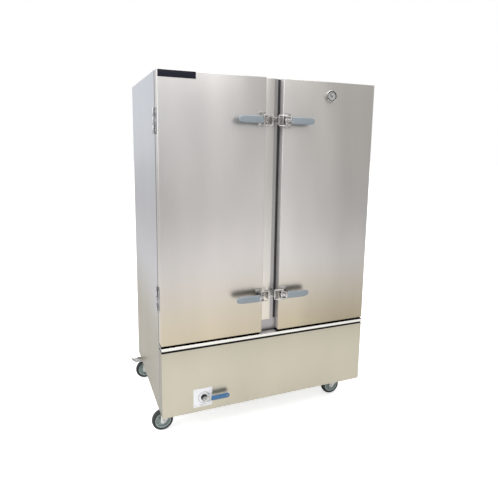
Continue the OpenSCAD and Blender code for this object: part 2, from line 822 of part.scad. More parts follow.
// Hub and tyre
module wheel(side, row) {
    hub_r = wheel_r - 13;
    hub_w = wheel_w + 2;
    tyre_half = wheel_w / 2 - 1;
    color("#303438") at_caster(side, row) translate([-caster_trail, 0, axle_z]) rotate([90, 0, 0]) {
        rotate_extrude($fn = round_fn) polygon([
            [axle_r + running, -hub_w / 2], [12, -hub_w / 2], [12, -wheel_w / 2 + 7],
            [hub_r, -wheel_w / 2 + 3], [hub_r, wheel_w / 2 - 3], [12, wheel_w / 2 - 7],
            [12, hub_w / 2], [axle_r + running, hub_w / 2]]);
        rotate_extrude($fn = round_fn) polygon([
            [hub_r + part_gap, -tyre_half], [wheel_r - 5, -tyre_half], [wheel_r - 1.5, 4 - tyre_half],
            [wheel_r, 9 - tyre_half], [wheel_r, tyre_half - 9], [wheel_r - 1.5, tyre_half - 4],
            [wheel_r - 5, tyre_half], [hub_r + part_gap, tyre_half]]);
    }
}

module pedal(side, row) {
    half = leg_y0 - 2;
    color("gainsboro") at_caster(side, row) difference() {
        union() {
            rod_y(pedal_boss_r, pedal_pivot_x, pedal_pivot_z, -half, half);
            block(-pedal_reach + 5, pedal_pivot_x, -half, half, pedal_pivot_z - 1, pedal_pivot_z + 2);
            rod_y(5, -pedal_reach + 5, pedal_pivot_z + 3, -half, half);
        }
        rod_y(pedal_pin_r + running, pedal_pivot_x, pedal_pivot_z, -half - 1, half + 1);
    }
}

// Screws and bolts that stay with the body
module fasteners() {
    color("darkgray") in_place() {
        for (x = caster_xs, y = caster_ys, dx = [-bolt_dx, bolt_dx], dy = [-bolt_dy, bolt_dy])
            translate([x + dx, y + dy, 0]) {
                translate([0, 0, -top_plate_t - 4]) cylinder(r = 7, h = 4, $fn = 6);
                translate([0, 0, -top_plate_t]) cylinder(r = bolt_r, h = 16, $fn = 32);
                translate([0, 0, pan_t + tube_t]) cylinder(r = 7, h = 6, $fn = 6);
            }
        for (x = [-1.6, cabinet_w], z = [65, base_h - 90])
            translate([x, body_y + 16, z]) rotate([0, 90, 0]) cylinder(r = 4, h = 1.6, $fn = 32);
        at_plate_screws() rod_y(3.2, 0, 0, -plate_t - 1.4, -plate_t);
    }
}

// ---- Hinges ----

// Places a left-hand hinge piece at both heights, with its axis at x = 0 and y = 0
module at_hinges() {
    for (z = hinge_zs) translate([-knuckle_out, hinge_y, z]) children();
}

// Leaf plate and the knuckles that carry it, on the body's side for dir = 1
module hinge_leaf(dir, knuckles) {
    y0 = dir > 0 ? leaf_start : -leaf_start - leaf_w;
    difference() {
        union() {
            block(knuckle_out - leaf_t, knuckle_out, y0, y0 + leaf_w, -hinge_h / 2, hinge_h / 2);
            for (k = knuckles) {
                z0 = -hinge_h / 2 + k * knuckle_h;
                low = k == 0 ? z0 : z0 + side_play / 2;
                high = k == 2 ? z0 + knuckle_h : z0 + knuckle_h - side_play / 2;
                rod_z(knuckle_r, 0, 0, low, high);
                block(knuckle_out - leaf_t - 2, knuckle_out, min(0, dir * (leaf_start + 1)),
                    max(0, dir * (leaf_start + 1)), low, high);
            }
        }
        rod_z(hinge_pin_r + (dir > 0 ? part_gap : running), 0, 0, -hinge_h, hinge_h);
        for (dz = [-0.36, 0, 0.36])
            translate([0, dir * (leaf_start + leaf_w * 0.6), dz * hinge_h]) rotate([0, 90, 0])
                cylinder(r = 2.6, h = 20, $fn = 32);
    }
}

module hinge_screws(dir) {
    for (dz = [-0.36, 0, 0.36])
        translate([knuckle_out - leaf_t - 1, dir * (leaf_start + leaf_w * 0.6), dz * hinge_h])
            rotate([0, 90, 0]) cylinder(r = 4, h = 1, $fn = 32);
}

module frame_leaf_set() {
    at_hinges() {
        hinge_leaf(1, [0, 2]);
        hinge_screws(1);
        rod_z(hinge_pin_r, 0, 0, -hinge_h / 2, hinge_h / 2 + 1);
        rod_z(hinge_pin_r + 1, 0, 0, hinge_h / 2 + part_gap, hinge_h / 2 + 2);
    }
}

module frame_hinge_leaves() {
    color("gainsboro") in_place() {
        frame_leaf_set();
        on_right() frame_leaf_set();
    }
}

module door_leaf_set() {
    at_hinges() {
        hinge_leaf(-1, [1]);
        hinge_screws(-1);
    }
}

module left_door_hinge_leaves() {
    color("gainsboro") in_place() door_leaf_set();
}

module right_door_hinge_leaves() {
    color("gainsboro") in_place() on_right() door_leaf_set();
}

// ---- Doors ----

module door_shell(x0, w) {
    difference() {
        block(x0, x0 + w, 0, door_t, door_z, cabinet_h);
        block(x0 + skin_t, x0 + w - skin_t, skin_t, door_t + 1, door_z + skin_t, cabinet_h - skin_t);
    }
}

module door_inner(x0, w) {
    block(x0 + skin_t, x0 + w - skin_t, door_t - skin_t, door_t, door_z + skin_t, cabinet_h - skin_t);
}

module door_foam(x0, w) {
    block(x0 + skin_t, x0 + w - skin_t, skin_t, door_t - skin_t, door_z + skin_t, cabinet_h - skin_t);
}

module door_gasket(x0, w) {
    i = gasket_inset;
    j = gasket_inset + gasket_w;
    difference() {
        block(x0 + i, x0 + w - i, door_t, door_t + gasket_t, door_z + i, cabinet_h - i);
        block(x0 + j, x0 + w - j, door_t - 1, door_t + gasket_t + 1, door_z + j, cabinet_h - j);
    }
}

module probe_hole() {
    rod_y(probe_r + hole_gap, gauge_cx, gauge_z, -5, door_t + 10);
}

module left_door_shell() {
    color("#c9c7c2") in_place() door_shell(0, left_door_w);
}

module left_door_inner_panel() {
    color("whitesmoke") in_place() door_inner(0, left_door_w);
}

module left_door_insulation() {
    color("khaki") in_place() door_foam(0, left_door_w);
}

module left_door_gasket() {
    color("#202020") in_place() door_gasket(0, left_door_w);
}

module right_door_shell() {
    color("#c9c7c2") in_place() difference() {
        door_shell(right_door_x, right_door_w);
        probe_hole();
    }
}

module right_door_inner_panel() {
    color("whitesmoke") in_place() difference() {
        door_inner(right_door_x, right_door_w);
        probe_hole();
    }
}

module right_door_insulation() {
    color("khaki") in_place() difference() {
        door_foam(right_door_x, right_door_w);
        probe_hole();
    }
}

module right_door_gasket() {
    color("#202020") in_place() door_gasket(right_door_x, right_door_w);
}

module name_plate() {
    color("black") in_place() block(3, 3 + plate_w, -1.5, 0, cabinet_h - 2 - plate_h, cabinet_h - 2);
}

// Case with its probe and the arbor that the pointer turns on
module thermometer() {
    color("gainsboro") in_place() difference() {
        union() {
            rod_y(gauge_r, gauge_cx, gauge_z, -gauge_t, 0);
            rod_y(probe_r, gauge_cx, gauge_z, -1, probe_y1);
        }
        difference() {
            rod_y(gauge_r - 3.5, gauge_cx, gauge_z, -gauge_t - 1, -gauge_t + dial_recess);
            rod_y(0.8, gauge_cx, gauge_z, -gauge_t + 0.8, -gauge_t + dial_recess + 1);
        }
    }
}

// Pointer, which stands at 40 degrees of its scale
module thermometer_pointer() {
    tip = gauge_r - 8;
    color("black") in_place() translate([gauge_cx, -gauge_t + 2, gauge_z]) rotate([0, -135, 0]) difference() {
        union() {
            rod_y(2.4, 0, 0, -1, 0);
            block(-7, tip, -0.8, -0.2, -0.7, 0.7);
        }
        rod_y(0.8 + running, 0, 0, -5, 5);
    }
}

// ---- Latches ----

// Moves a right-hand latch piece to the centre line at a height, mirrored for the left
module at_latch(dir, z) {
    in_place() translate([centre_x, 0, z]) mirror([dir > 0 ? 0 : 1, 0, 0]) children();
}

// Base plate on the door, with two ears, and the pivot pin through them
module latch_base() {
    x0 = centre_gap / 2 + base_edge;
    difference() {
        union() {
            block(x0, x0 + base_w, -base_t, 0, -base_half_h, base_half_h);
            for (z = [-ear_z0 - ear_t, ear_z0]) {
                rod_z(ear_r, pivot_out, -pivot_y, z, z + ear_t);
                block(pivot_out - ear_r, pivot_out + ear_r, -pivot_y, -base_t, z, z + ear_t);
            }
        }
        rod_z(latch_pin_r + part_gap, pivot_out, -pivot_y, -base_half_h, base_half_h);
        for (z = [-screw_z, screw_z]) rod_y(2.6, x0 + base_w - 9, z, -5, 5);
    }
    rod_z(latch_pin_r, pivot_out, -pivot_y, -cheek_z1 - 0.5, cheek_z1 + 0.5);
    for (z = [-screw_z, screw_z]) rod_y(4.5, x0 + base_w - 9, z, -base_t - 2.5, -base_t);
}

module latch_bases(dir) {
    color("gainsboro") for (z = latch_zs) at_latch(dir, z) latch_base();
}

// Lever: cheeks outside the ears, a barrel between them, a flat core and the grip on it
module lever(dir, z) {
    barrel_h = ear_z0 - side_play;
    web_x0 = pivot_out + ear_r + 3;
    grip_x0 = web_x0 + 3;
    core_y0 = -core_front;
    color("slategray") at_latch(dir, z) {
        difference() {
            union() {
                rod_z(cheek_r, pivot_out, -pivot_y, -cheek_z1, cheek_z1);
                rod_z(5, pivot_out + bail_out, -pivot_y - bail_front, -cheek_z1, cheek_z1);
                block(pivot_out, grip_x0 - part_gap, core_y0, -pivot_y, -cheek_z1, cheek_z1);
                block(web_x0, grip_x0 + grip_l - 12, core_y0, core_y0 + strip_core_t, -10, 10);
            }
            for (s = [-1, 1]) {
                slot_z = s > 0 ? barrel_h : -cheek_z0;
                rod_z(ear_r + 1.5, pivot_out, -pivot_y, slot_z, slot_z + cheek_z0 - barrel_h);
                block(pivot_out - 20, pivot_out + ear_r + 1.5, -pivot_y, 0, slot_z,
                    slot_z + cheek_z0 - barrel_h);
                block(pivot_out - 20, pivot_out, -pivot_y - ear_r - 1.5, -pivot_y, slot_z,
                    slot_z + cheek_z0 - barrel_h);
            }
            rod_z(latch_pin_r + running, pivot_out, -pivot_y, -40, 40);
            rod_z(wire_r + running, pivot_out + bail_out, -pivot_y - bail_front, -40, -cheek_z0 + 1);
            rod_z(wire_r + running, pivot_out + bail_out, -pivot_y - bail_front, cheek_z0 - 1, 40);
        }
        difference() {
            grip_body(grip_x0);
            block(grip_x0 - 1, grip_x0 + grip_l - 12 + part_gap, core_y0 - part_gap,
                core_y0 + strip_core_t + part_gap, -10 - part_gap, 10 + part_gap);
        }
    }
}

// Grip: a bowed bar with a rounded end
module grip_body(x0) {
    y0 = -grip_front;
    bow = 3;
    end_r = grip_h / 2 - 2;
    intersection() {
        translate([0, 0, -grip_h / 2]) linear_extrude(grip_h) polygon(concat(
            [for (i = [0:8]) [x0 + i * grip_l / 8, y0 + bow * pow(1 - i / 4, 2)]],
            [for (i = [8:-1:0]) [x0 + i * grip_l / 8, y0 + grip_t - bow * pow(1 - i / 4, 2) * 0.4]]));
        union() {
            block(x0, x0 + grip_l - end_r, y0 - 5, y0 + grip_t + 5, -grip_h / 2, grip_h / 2);
            block(x0, x0 + grip_l, y0 - 5, y0 + grip_t + 5, -2, 2);
            for (s = [-1, 1])
                rod_y(end_r, x0 + grip_l - end_r, s * 2, y0 - 5, y0 + grip_t + 5);
        }
    }
}

// Wire bail: two stubs in the cheeks, two arms and the end that hooks behind the keeper's lip
module bail(dir, z) {
    bx = pivot_out + bail_out;
    by = -pivot_y - bail_front;
    run = [bail_end - bx, -bail_y - by];
    run_l = sqrt(run[0] * run[0] + run[1] * run[1]);
    bail_z = bail_h / 2 + wire_r;
    color("gainsboro") at_latch(dir, z) {
        for (s = [-1, 1]) {
            translate([bx, by, s * bail_h / 2]) rotate([0, 0, atan2(run[1], run[0])]) rotate([0, 90, 0])
                cylinder(r = wire_r - 0.2, h = run_l, $fn = 32);
            rod_z(wire_r, bx, by, min(s * cheek_z0, s * bail_z), max(s * cheek_z0, s * bail_z));
        }
        rod_z(wire_r, bail_end, -bail_y, -bail_z, bail_z);
    }
}

// ---- Nodes ----

left_side_panel();
right_side_panel();
top_panel();
back_panel();
chassis();
base_front_panel();
drip_gutter();
front_frame();
centre_post();
post_cover_strip();
post_seal();
latch_keepers();
chamber_liner();
cabinet_insulation();
tray_racks();
water_tank();
heating_elements();
float_valve();
float_arm();
drain_line();
valve_plate();
valve_lever();
terminal_box();
steam_vent();
caster_plates();
fasteners();
frame_hinge_leaves();
left_door_shell();
left_door_inner_panel();
left_door_insulation();
left_door_gasket();
left_door_hinge_leaves();
latch_bases(-1);  // left_latch_bases
name_plate();
right_door_shell();
right_door_inner_panel();
right_door_insulation();
right_door_gasket();
right_door_hinge_leaves();
latch_bases(1);  // right_latch_bases
thermometer();
thermometer_pointer();
lever(-1, latch_zs[1]);  // upper_left_lever
bail(-1, latch_zs[1]);  // upper_left_bail
lever(-1, latch_zs[0]);  // lower_left_lever
bail(-1, latch_zs[0]);  // lower_left_bail
lever(1, latch_zs[1]);  // upper_right_lever
bail(1, latch_zs[1]);  // upper_right_bail
lever(1, latch_zs[0]);  // lower_right_lever
bail(1, latch_zs[0]);  // lower_right_bail
fork(0, 0, false);  // front_left_fork
wheel(0, 0);  // front_left_wheel
fork(1, 0, false);  // front_right_fork
wheel(1, 0);  // front_right_wheel
fork(0, 1, true);  // rear_left_fork
wheel(0, 1);  // rear_left_wheel
pedal(0, 1);  // rear_left_pedal
fork(1, 1, true);  // rear_right_fork
wheel(1, 1);  // rear_right_wheel
pedal(1, 1);  // rear_right_pedal
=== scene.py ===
"""Two-door steam and proofing cabinet on casters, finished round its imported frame."""
import json
import math

import bmesh
import bpy
from mathutils import Matrix, Vector


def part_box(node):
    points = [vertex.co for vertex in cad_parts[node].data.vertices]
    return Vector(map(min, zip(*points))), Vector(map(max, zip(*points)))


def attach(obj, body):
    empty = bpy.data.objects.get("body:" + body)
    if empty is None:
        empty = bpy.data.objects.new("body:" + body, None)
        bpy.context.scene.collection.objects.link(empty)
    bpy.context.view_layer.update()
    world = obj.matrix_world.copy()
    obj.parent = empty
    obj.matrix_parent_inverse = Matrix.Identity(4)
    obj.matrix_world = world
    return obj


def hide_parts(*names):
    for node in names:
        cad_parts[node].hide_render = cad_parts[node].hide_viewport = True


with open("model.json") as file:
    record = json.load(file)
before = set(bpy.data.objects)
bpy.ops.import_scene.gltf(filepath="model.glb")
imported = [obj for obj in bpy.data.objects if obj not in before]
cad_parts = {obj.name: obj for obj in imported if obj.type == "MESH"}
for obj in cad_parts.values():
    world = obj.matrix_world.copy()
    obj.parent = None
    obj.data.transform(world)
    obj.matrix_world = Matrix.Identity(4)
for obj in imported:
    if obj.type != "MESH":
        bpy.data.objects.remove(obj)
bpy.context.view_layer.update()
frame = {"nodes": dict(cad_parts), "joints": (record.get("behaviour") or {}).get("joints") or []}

# ---- Camera, floor and light ----
# The camera stands to the cabinet's left at chest height and looks a little down on it.
# The room is a plain white studio: a pale floor, a pale sky and two large soft boxes.

CAMERA_AT = Vector((-0.8378, -2.2061, 1.3381))
CAMERA_LOOK = Vector((0.3817, 0.9100, -0.1618)).normalized()
CAMERA_UP = Vector((0.0460, 0.1562, 0.9867))
LENS_MM = 32.73
CAMERA_SHIFT = (-0.0167, -0.0624)
FLOOR_HALF = 30.0

scene = bpy.context.scene
scene.view_settings.view_transform = "Standard"

camera = bpy.data.objects.new("camera", bpy.data.cameras.new("camera"))
scene.collection.objects.link(camera)
scene.camera = camera
camera.data.lens = LENS_MM
camera.data.shift_x, camera.data.shift_y = CAMERA_SHIFT
look_right = CAMERA_LOOK.cross(CAMERA_UP).normalized()
look_up = look_right.cross(CAMERA_LOOK)
turn = Matrix((look_right, look_up, -CAMERA_LOOK)).transposed()
camera.matrix_world = Matrix.Translation(CAMERA_AT) @ turn.to_4x4()


def new_material(name, metallic=0.0):
    """A material, its node tree and its shader."""
    material = bpy.data.materials.new(name)
    material.use_nodes = True
    tree = material.node_tree
    shader = tree.nodes["Principled BSDF"]
    shader.inputs["Metallic"].default_value = metallic
    return material, tree, shader


def coordinates(tree, scale, centre=(0, 0, 0), rotation=(0, 0, 0)):
    """The object's own coordinates, measured from a centre and stretched."""
    source = tree.nodes.new("ShaderNodeTexCoord")
    mapping = tree.nodes.new("ShaderNodeMapping")
    mapping.vector_type = "POINT"
    mapping.inputs["Scale"].default_value = scale
    mapping.inputs["Rotation"].default_value = rotation
    mapping.inputs["Location"].default_value = [-c * s for c, s in zip(centre, scale)]
    tree.links.new(source.outputs["Object"], mapping.inputs["Vector"])
    return mapping.outputs["Vector"]


def noise(tree, vector, scale, detail=2.0):
    """A soft random value, from 0 to 1."""
    node = tree.nodes.new("ShaderNodeTexNoise")
    node.inputs["Scale"].default_value = scale
    node.inputs["Detail"].default_value = detail
    tree.links.new(vector, node.inputs["Vector"])
    return node.outputs["Fac"]


def spread(tree, value, low, high):
    """Turns a value from 0 to 1 into one from low to high."""
    node = tree.nodes.new("ShaderNodeMapRange")
    node.inputs["To Min"].default_value = low
    node.inputs["To Max"].default_value = high
    tree.links.new(value, node.inputs["Value"])
    return node.outputs["Result"]


def blended(tree, factor, a, b):
    """A colour between two others."""
    node = tree.nodes.new("ShaderNodeMix")
    node.data_type = "RGBA"
    for label, value in (("Factor", factor), ("A", a), ("B", b)):
        if isinstance(value, tuple):
            node.inputs[label].default_value = value
        else:
            tree.links.new(value, node.inputs[label])
    return node.outputs["Result"]


floor_paint, tree, shader = new_material("floor paint")
tint = spread(tree, noise(tree, coordinates(tree, (1, 1, 1)), 2.0), 0.88, 0.9)
tree.links.new(tint, shader.inputs["Base Color"])
shader.inputs["Roughness"].default_value = 0.9
shader.inputs["Specular IOR Level"].default_value = 0.1
shader.inputs["Emission Color"].default_value = (1, 1, 1, 1)
seen = tree.nodes.new("ShaderNodeLightPath")
tree.links.new(spread(tree, seen.outputs["Is Camera Ray"], 0.0, 0.62), shader.inputs["Emission Strength"])
bm = bmesh.new()
bmesh.ops.create_grid(bm, x_segments=1, y_segments=1, size=FLOOR_HALF)
floor_mesh = bpy.data.meshes.new("floor")
bm.to_mesh(floor_mesh)
bm.free()
floor_mesh.materials.append(floor_paint)
floor = bpy.data.objects.new("floor", floor_mesh)
scene.collection.objects.link(floor)


def soft_box(name, at, towards, size, watts, colour):
    """A large rectangular lamp that faces a point."""
    light = bpy.data.lights.new(name, "AREA")
    light.shape = "RECTANGLE"
    light.size, light.size_y = size
    light.energy = watts
    light.color = colour
    lamp = bpy.data.objects.new(name, light)
    scene.collection.objects.link(lamp)
    lamp.location = at
    lamp.rotation_euler = (Vector(towards) - Vector(at)).to_track_quat("-Z", "Y").to_euler()


soft_box("overhead box", (-0.5, -1.5, 4.2), (0, -0.2, 0.8), (4.5, 3.5), 150, (1.0, 0.99, 0.97))
soft_box("left box", (-4.0, -1.0, 2.4), (0, 0, 0.9), (2.5, 2.5), 60, (0.95, 0.98, 1.0))

# The sky is brighter on the left and dims to the right, as in a studio with one window.
world = bpy.data.worlds.new("studio")
scene.world = world
world.use_nodes = True
tree = world.node_tree
background = tree.nodes["Background"]
direction = tree.nodes.new("ShaderNodeTexCoord")
parts = tree.nodes.new("ShaderNodeSeparateXYZ")
tree.links.new(direction.outputs["Generated"], parts.inputs["Vector"])
across = tree.nodes.new("ShaderNodeMapRange")
across.inputs["From Min"].default_value = -0.2
across.inputs["From Max"].default_value = 0.75
tree.links.new(parts.outputs["X"], across.inputs["Value"])
sky = tree.nodes.new("ShaderNodeValToRGB")
sky.color_ramp.interpolation = "EASE"
sky.color_ramp.elements[0].color = (0.96, 0.96, 0.97, 1)
sky.color_ramp.elements[1].color = (0.70, 0.69, 0.67, 1)
tree.links.new(across.outputs["Result"], sky.inputs["Fac"])
seen = tree.nodes.new("ShaderNodeLightPath")
shown_sky = blended(tree, seen.outputs["Is Camera Ray"], sky.outputs["Color"], (1, 1, 1, 1))
tree.links.new(shown_sky, background.inputs["Color"])
background.inputs["Strength"].default_value = 1.0

# ---- Body sheets ----
# Stainless sheet, 1.2 mm thick, brushed along its length and folded at the edges.
# The side, back and roof sheets are spot welded to the frame inside.

grain_and_light_group = bpy.data.node_groups.new("brushed grain and painted light", "ShaderNodeTree")
for label, kind in (("Vector", "Vector"), ("Grain", "Vector"), ("Upper", "Color"), ("Middle", "Color"),
                    ("Lower", "Color"), ("Patches", "Float"), ("Across", "Float"), ("Sheen", "Float"),
                    ("Gloss", "Float")):
    grain_and_light_group.interface.new_socket(label, in_out="INPUT", socket_type="NodeSocket" + kind)
for label, kind in (("Color", "Color"), ("Roughness", "Float"), ("Height", "Float")):
    grain_and_light_group.interface.new_socket(label, in_out="OUTPUT", socket_type="NodeSocket" + kind)
given = grain_and_light_group.nodes.new("NodeGroupInput")
result = grain_and_light_group.nodes.new("NodeGroupOutput")


def maths(tree, operation, a, b):
    """One sum on two values, each a socket or a number."""
    node = tree.nodes.new("ShaderNodeMath")
    node.operation = operation
    for slot_number, value in enumerate((a, b)):
        if isinstance(value, (int, float)):
            node.inputs[slot_number].default_value = value
        else:
            tree.links.new(value, node.inputs[slot_number])
    return node.outputs["Value"]


def ramp(tree, value, start, end, low=0.0, high=1.0):
    """A smooth step from low at start to high at end."""
    node = tree.nodes.new("ShaderNodeMapRange")
    node.interpolation_type = "SMOOTHSTEP"
    for label, number in (("From Min", start), ("From Max", end), ("To Min", low), ("To Max", high)):
        node.inputs[label].default_value = number
    tree.links.new(value, node.inputs["Value"])
    return node.outputs["Result"]


def place_of(tree):
    """The object's own x, y and z."""
    source = tree.nodes.new("ShaderNodeTexCoord")
    parts = tree.nodes.new("ShaderNodeSeparateXYZ")
    tree.links.new(source.outputs["Object"], parts.inputs["Vector"])
    return parts.outputs


# Besides hairlines and random patches, this group paints light and shade: the tone runs from Lower to Upper
# with height, Across paints shade over all but the left part, mostly low down, and Sheen paints a lighter
# band near the left edge at mid height.
hairlines = noise(grain_and_light_group, given.outputs["Grain"], 1.0, 3.0)
patches = noise(grain_and_light_group, given.outputs["Vector"], 1.0, 1.5)
where = place_of(grain_and_light_group)
above_low = ramp(grain_and_light_group, where["Z"], 0.42, 0.85)
tone = blended(grain_and_light_group, above_low, given.outputs["Lower"], given.outputs["Middle"])
above_mid = ramp(grain_and_light_group, where["Z"], 0.95, 1.5)
tone = blended(grain_and_light_group, above_mid, tone, given.outputs["Upper"])
is_low = ramp(grain_and_light_group, where["Z"], 0.3, 0.85, 1.0, 0.15)
across = maths(grain_and_light_group, "MULTIPLY", ramp(grain_and_light_group, where["X"], -0.05, 0.45), is_low)
across = maths(grain_and_light_group, "MULTIPLY", across, given.outputs["Across"])
sheen = maths(grain_and_light_group, "SUBTRACT", ramp(grain_and_light_group, where["X"], -0.45, -0.05),
              ramp(grain_and_light_group, where["X"], 0.08, 0.4))
at_mid = maths(grain_and_light_group, "SUBTRACT", ramp(grain_and_light_group, where["Z"], 0.5, 0.95),
               ramp(grain_and_light_group, where["Z"], 1.1, 1.55))
sheen = maths(grain_and_light_group, "MULTIPLY", maths(grain_and_light_group, "MULTIPLY", sheen, at_mid), given.outputs["Sheen"])
across = maths(grain_and_light_group, "SUBTRACT", across, sheen)
centred = maths(grain_and_light_group, "SUBTRACT", patches, 0.5)
patch_shift = maths(grain_and_light_group, "MULTIPLY", centred, given.outputs["Patches"])
fine_shift = maths(grain_and_light_group, "MULTIPLY", maths(grain_and_light_group, "SUBTRACT", hairlines, 0.5), 0.10)
brightness = maths(grain_and_light_group, "ADD", maths(grain_and_light_group, "ADD", patch_shift, fine_shift), 1.0)
brightness = maths(grain_and_light_group, "SUBTRACT", brightness, across)
lit = grain_and_light_group.nodes.new("ShaderNodeVectorMath")
lit.operation = "SCALE"
grain_and_light_group.links.new(tone, lit.inputs[0])
grain_and_light_group.links.new(brightness, lit.inputs["Scale"])
grain_and_light_group.links.new(lit.outputs["Vector"], result.inputs["Color"])
dulled = maths(grain_and_light_group, "ADD", given.outputs["Gloss"], maths(grain_and_light_group, "MULTIPLY", centred, 0.12))
grain_and_light_group.links.new(dulled, result.inputs["Roughness"])
grain_and_light_group.links.new(hairlines, result.inputs["Height"])


UPRIGHT_GRAIN = (900, 900, 14)
LEVEL_GRAIN = (14, 900, 900)


def brushed_steel(name, upper, middle, lower, gloss, grain=UPRIGHT_GRAIN, patches=0.2, across=0.0,
                  sheen=0.0):
    """Brushed sheet: hairlines along the axis with the smallest grain value, and light and shade painted by
    its tones, across and sheen.
    """
    material, tree, shader = new_material(name, metallic=1.0)
    sheet = tree.nodes.new("ShaderNodeGroup")
    sheet.node_tree = grain_and_light_group
    tree.links.new(coordinates(tree, grain), sheet.inputs["Grain"])
    tree.links.new(coordinates(tree, (5.5, 5.5, 1.6)), sheet.inputs["Vector"])
    sheet.inputs["Upper"].default_value = (*upper, 1)
    sheet.inputs["Middle"].default_value = (*middle, 1)
    sheet.inputs["Lower"].default_value = (*lower, 1)
    sheet.inputs["Across"].default_value = across
    sheet.inputs["Sheen"].default_value = sheen
    sheet.inputs["Patches"].default_value = patches
    sheet.inputs["Gloss"].default_value = gloss
    bump = tree.nodes.new("ShaderNodeBump")
    bump.inputs["Strength"].default_value = 0.05
    bump.inputs["Distance"].default_value = 0.0004
    tree.links.new(sheet.outputs["Color"], shader.inputs["Base Color"])
    tree.links.new(sheet.outputs["Roughness"], shader.inputs["Roughness"])
    tree.links.new(sheet.outputs["Height"], bump.inputs["Height"])
    tree.links.new(bump.outputs["Normal"], shader.inputs["Normal"])
    return material


# The side steel's tones run from light and cool at the top to dark and warm at the bottom: painted light and
# shade.
side_steel = brushed_steel("side steel", (0.53, 0.555, 0.595), (0.45, 0.45, 0.475),
                           (0.275, 0.247, 0.19), 0.36)
roof_steel = brushed_steel("roof steel", (0.58, 0.58, 0.57), (0.55, 0.55, 0.53), (0.55, 0.55, 0.53),
                           0.36, LEVEL_GRAIN)
panel_steel = brushed_steel("panel steel", *[(0.47, 0.44, 0.36)] * 3, 0.38, LEVEL_GRAIN)
inner_steel = brushed_steel("inner steel", (0.52, 0.52, 0.51), (0.51, 0.51, 0.50), (0.50, 0.50, 0.48), 0.45)


def finish_node(node, material):
    """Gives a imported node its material."""
    mesh = frame["nodes"][node].data
    mesh.materials.clear()
    mesh.materials.append(material)


# The fold at the front of each side sheet is darkened with painted shade, for the shadow in the gap beside
# the door.
FOLD_SHADE_FROM, FOLD_SHADE_TO = 0.004, 0.011
tree = side_steel.node_tree
shader = tree.nodes["Principled BSDF"]
fold_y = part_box("left_side_panel")[0].y
away = ramp(tree, place_of(tree)["Y"], fold_y + FOLD_SHADE_FROM, fold_y + FOLD_SHADE_TO)
fold_shaded = blended(tree, away, (0.06, 0.055, 0.05, 1), shader.inputs["Base Color"].links[0].from_socket)
tree.links.new(fold_shaded, shader.inputs["Base Color"])
for node in ("left_side_panel", "right_side_panel", "back_panel"):
    finish_node(node, side_steel)
finish_node("top_panel", roof_steel)


def block(lo, hi):
    """A box between two corners."""
    bm = bmesh.new()
    bmesh.ops.create_cube(bm, size=1.0)
    bmesh.ops.scale(bm, vec=Vector(hi) - Vector(lo), verts=bm.verts)
    bmesh.ops.translate(bm, vec=(Vector(hi) + Vector(lo)) / 2, verts=bm.verts)
    return bm


def soften(bm, radius, segments=3, edges=None):
    """Rounds the given edges, or every edge sharper than 30 degrees."""
    if edges is None:
        edges = [e for e in bm.edges if e.is_manifold and e.calc_face_angle() > math.radians(30)]
    bmesh.ops.bevel(bm, geom=edges, offset=radius, segments=segments, affect="EDGES",
                    profile=0.5, material=-1, clamp_overlap=True)
    return bm


def joined(*parts):
    """One bmesh from several."""
    whole = bmesh.new()
    for part in parts:
        mesh = bpy.data.meshes.new("part")
        part.to_mesh(mesh)
        part.free()
        whole.from_mesh(mesh)
        bpy.data.meshes.remove(mesh)
    return whole


def make_piece(name, bm, material, body, nodes=(), sharp=40):
    """Turns a bmesh into a piece that rides on a body and stands for some nodes."""
    bmesh.ops.recalc_face_normals(bm, faces=bm.faces)
    mesh = bpy.data.meshes.new(name)
    bm.to_mesh(mesh)
    bm.free()
    mesh.materials.append(material)
    mesh.shade_smooth()
    mesh.set_sharp_from_angle(angle=math.radians(sharp))
    piece = bpy.data.objects.new(name, mesh)
    scene.collection.objects.link(piece)
    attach(piece, body)
    if nodes:
        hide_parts(*nodes)
    return piece


WALL = 0.0012


def tray(lo, hi, radius):
    """A folded sheet tray, open at the back."""
    bm = block(lo, hi)
    back = max(bm.faces, key=lambda f: f.calc_center_median().y)
    bmesh.ops.delete(bm, geom=[back], context="FACES_ONLY")
    folds = [e for e in bm.edges if len(e.link_faces) == 2]
    soften(bm, radius, 3, folds)
    bmesh.ops.recalc_face_normals(bm, faces=bm.faces)
    bmesh.ops.solidify(bm, geom=bm.faces, thickness=WALL)
    return bm


def second_finish(piece, material, chosen):
    """Gives the faces that a test picks out a second material."""
    piece.data.materials.append(material)
    for face in piece.data.polygons:
        if chosen(face.normal):
            face.material_index = 1


PANEL_FOLD_R = 0.0025
LIP_SHADOW_FROM, LIP_SHADOW_TO = -0.005, -0.0035
lo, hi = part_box("base_front_panel")
# The lower panel's top fold lies in the shade of the gutter; a painted shadow darkens it.
tree = panel_steel.node_tree
shader = tree.nodes["Principled BSDF"]
shaded = ramp(tree, place_of(tree)["Z"], hi.z + LIP_SHADOW_FROM, hi.z + LIP_SHADOW_TO)
under_lip_shadowed = blended(tree, shaded, shader.inputs["Base Color"].links[0].from_socket, (0.03, 0.03, 0.03, 1))
tree.links.new(under_lip_shadowed, shader.inputs["Base Color"])
# The side returns of the lower panel take a darker copy of the panel steel: painted shade.
return_steel = brushed_steel("return steel", *[(0.29, 0.275, 0.235)] * 3, 0.42)
base_panel = make_piece("base_panel", tray(lo, hi, PANEL_FOLD_R), panel_steel, "cabinet",
                        ["base_front_panel"])
second_finish(base_panel, return_steel, lambda normal: abs(normal.x) > 0.95)

# ---- Drip gutter ----
# A bright folded trough under the doors. It catches the condensate that runs off them.
# Its inside and the underside of its lip are darkened with painted shade, and painted light greys it between
# the doors.

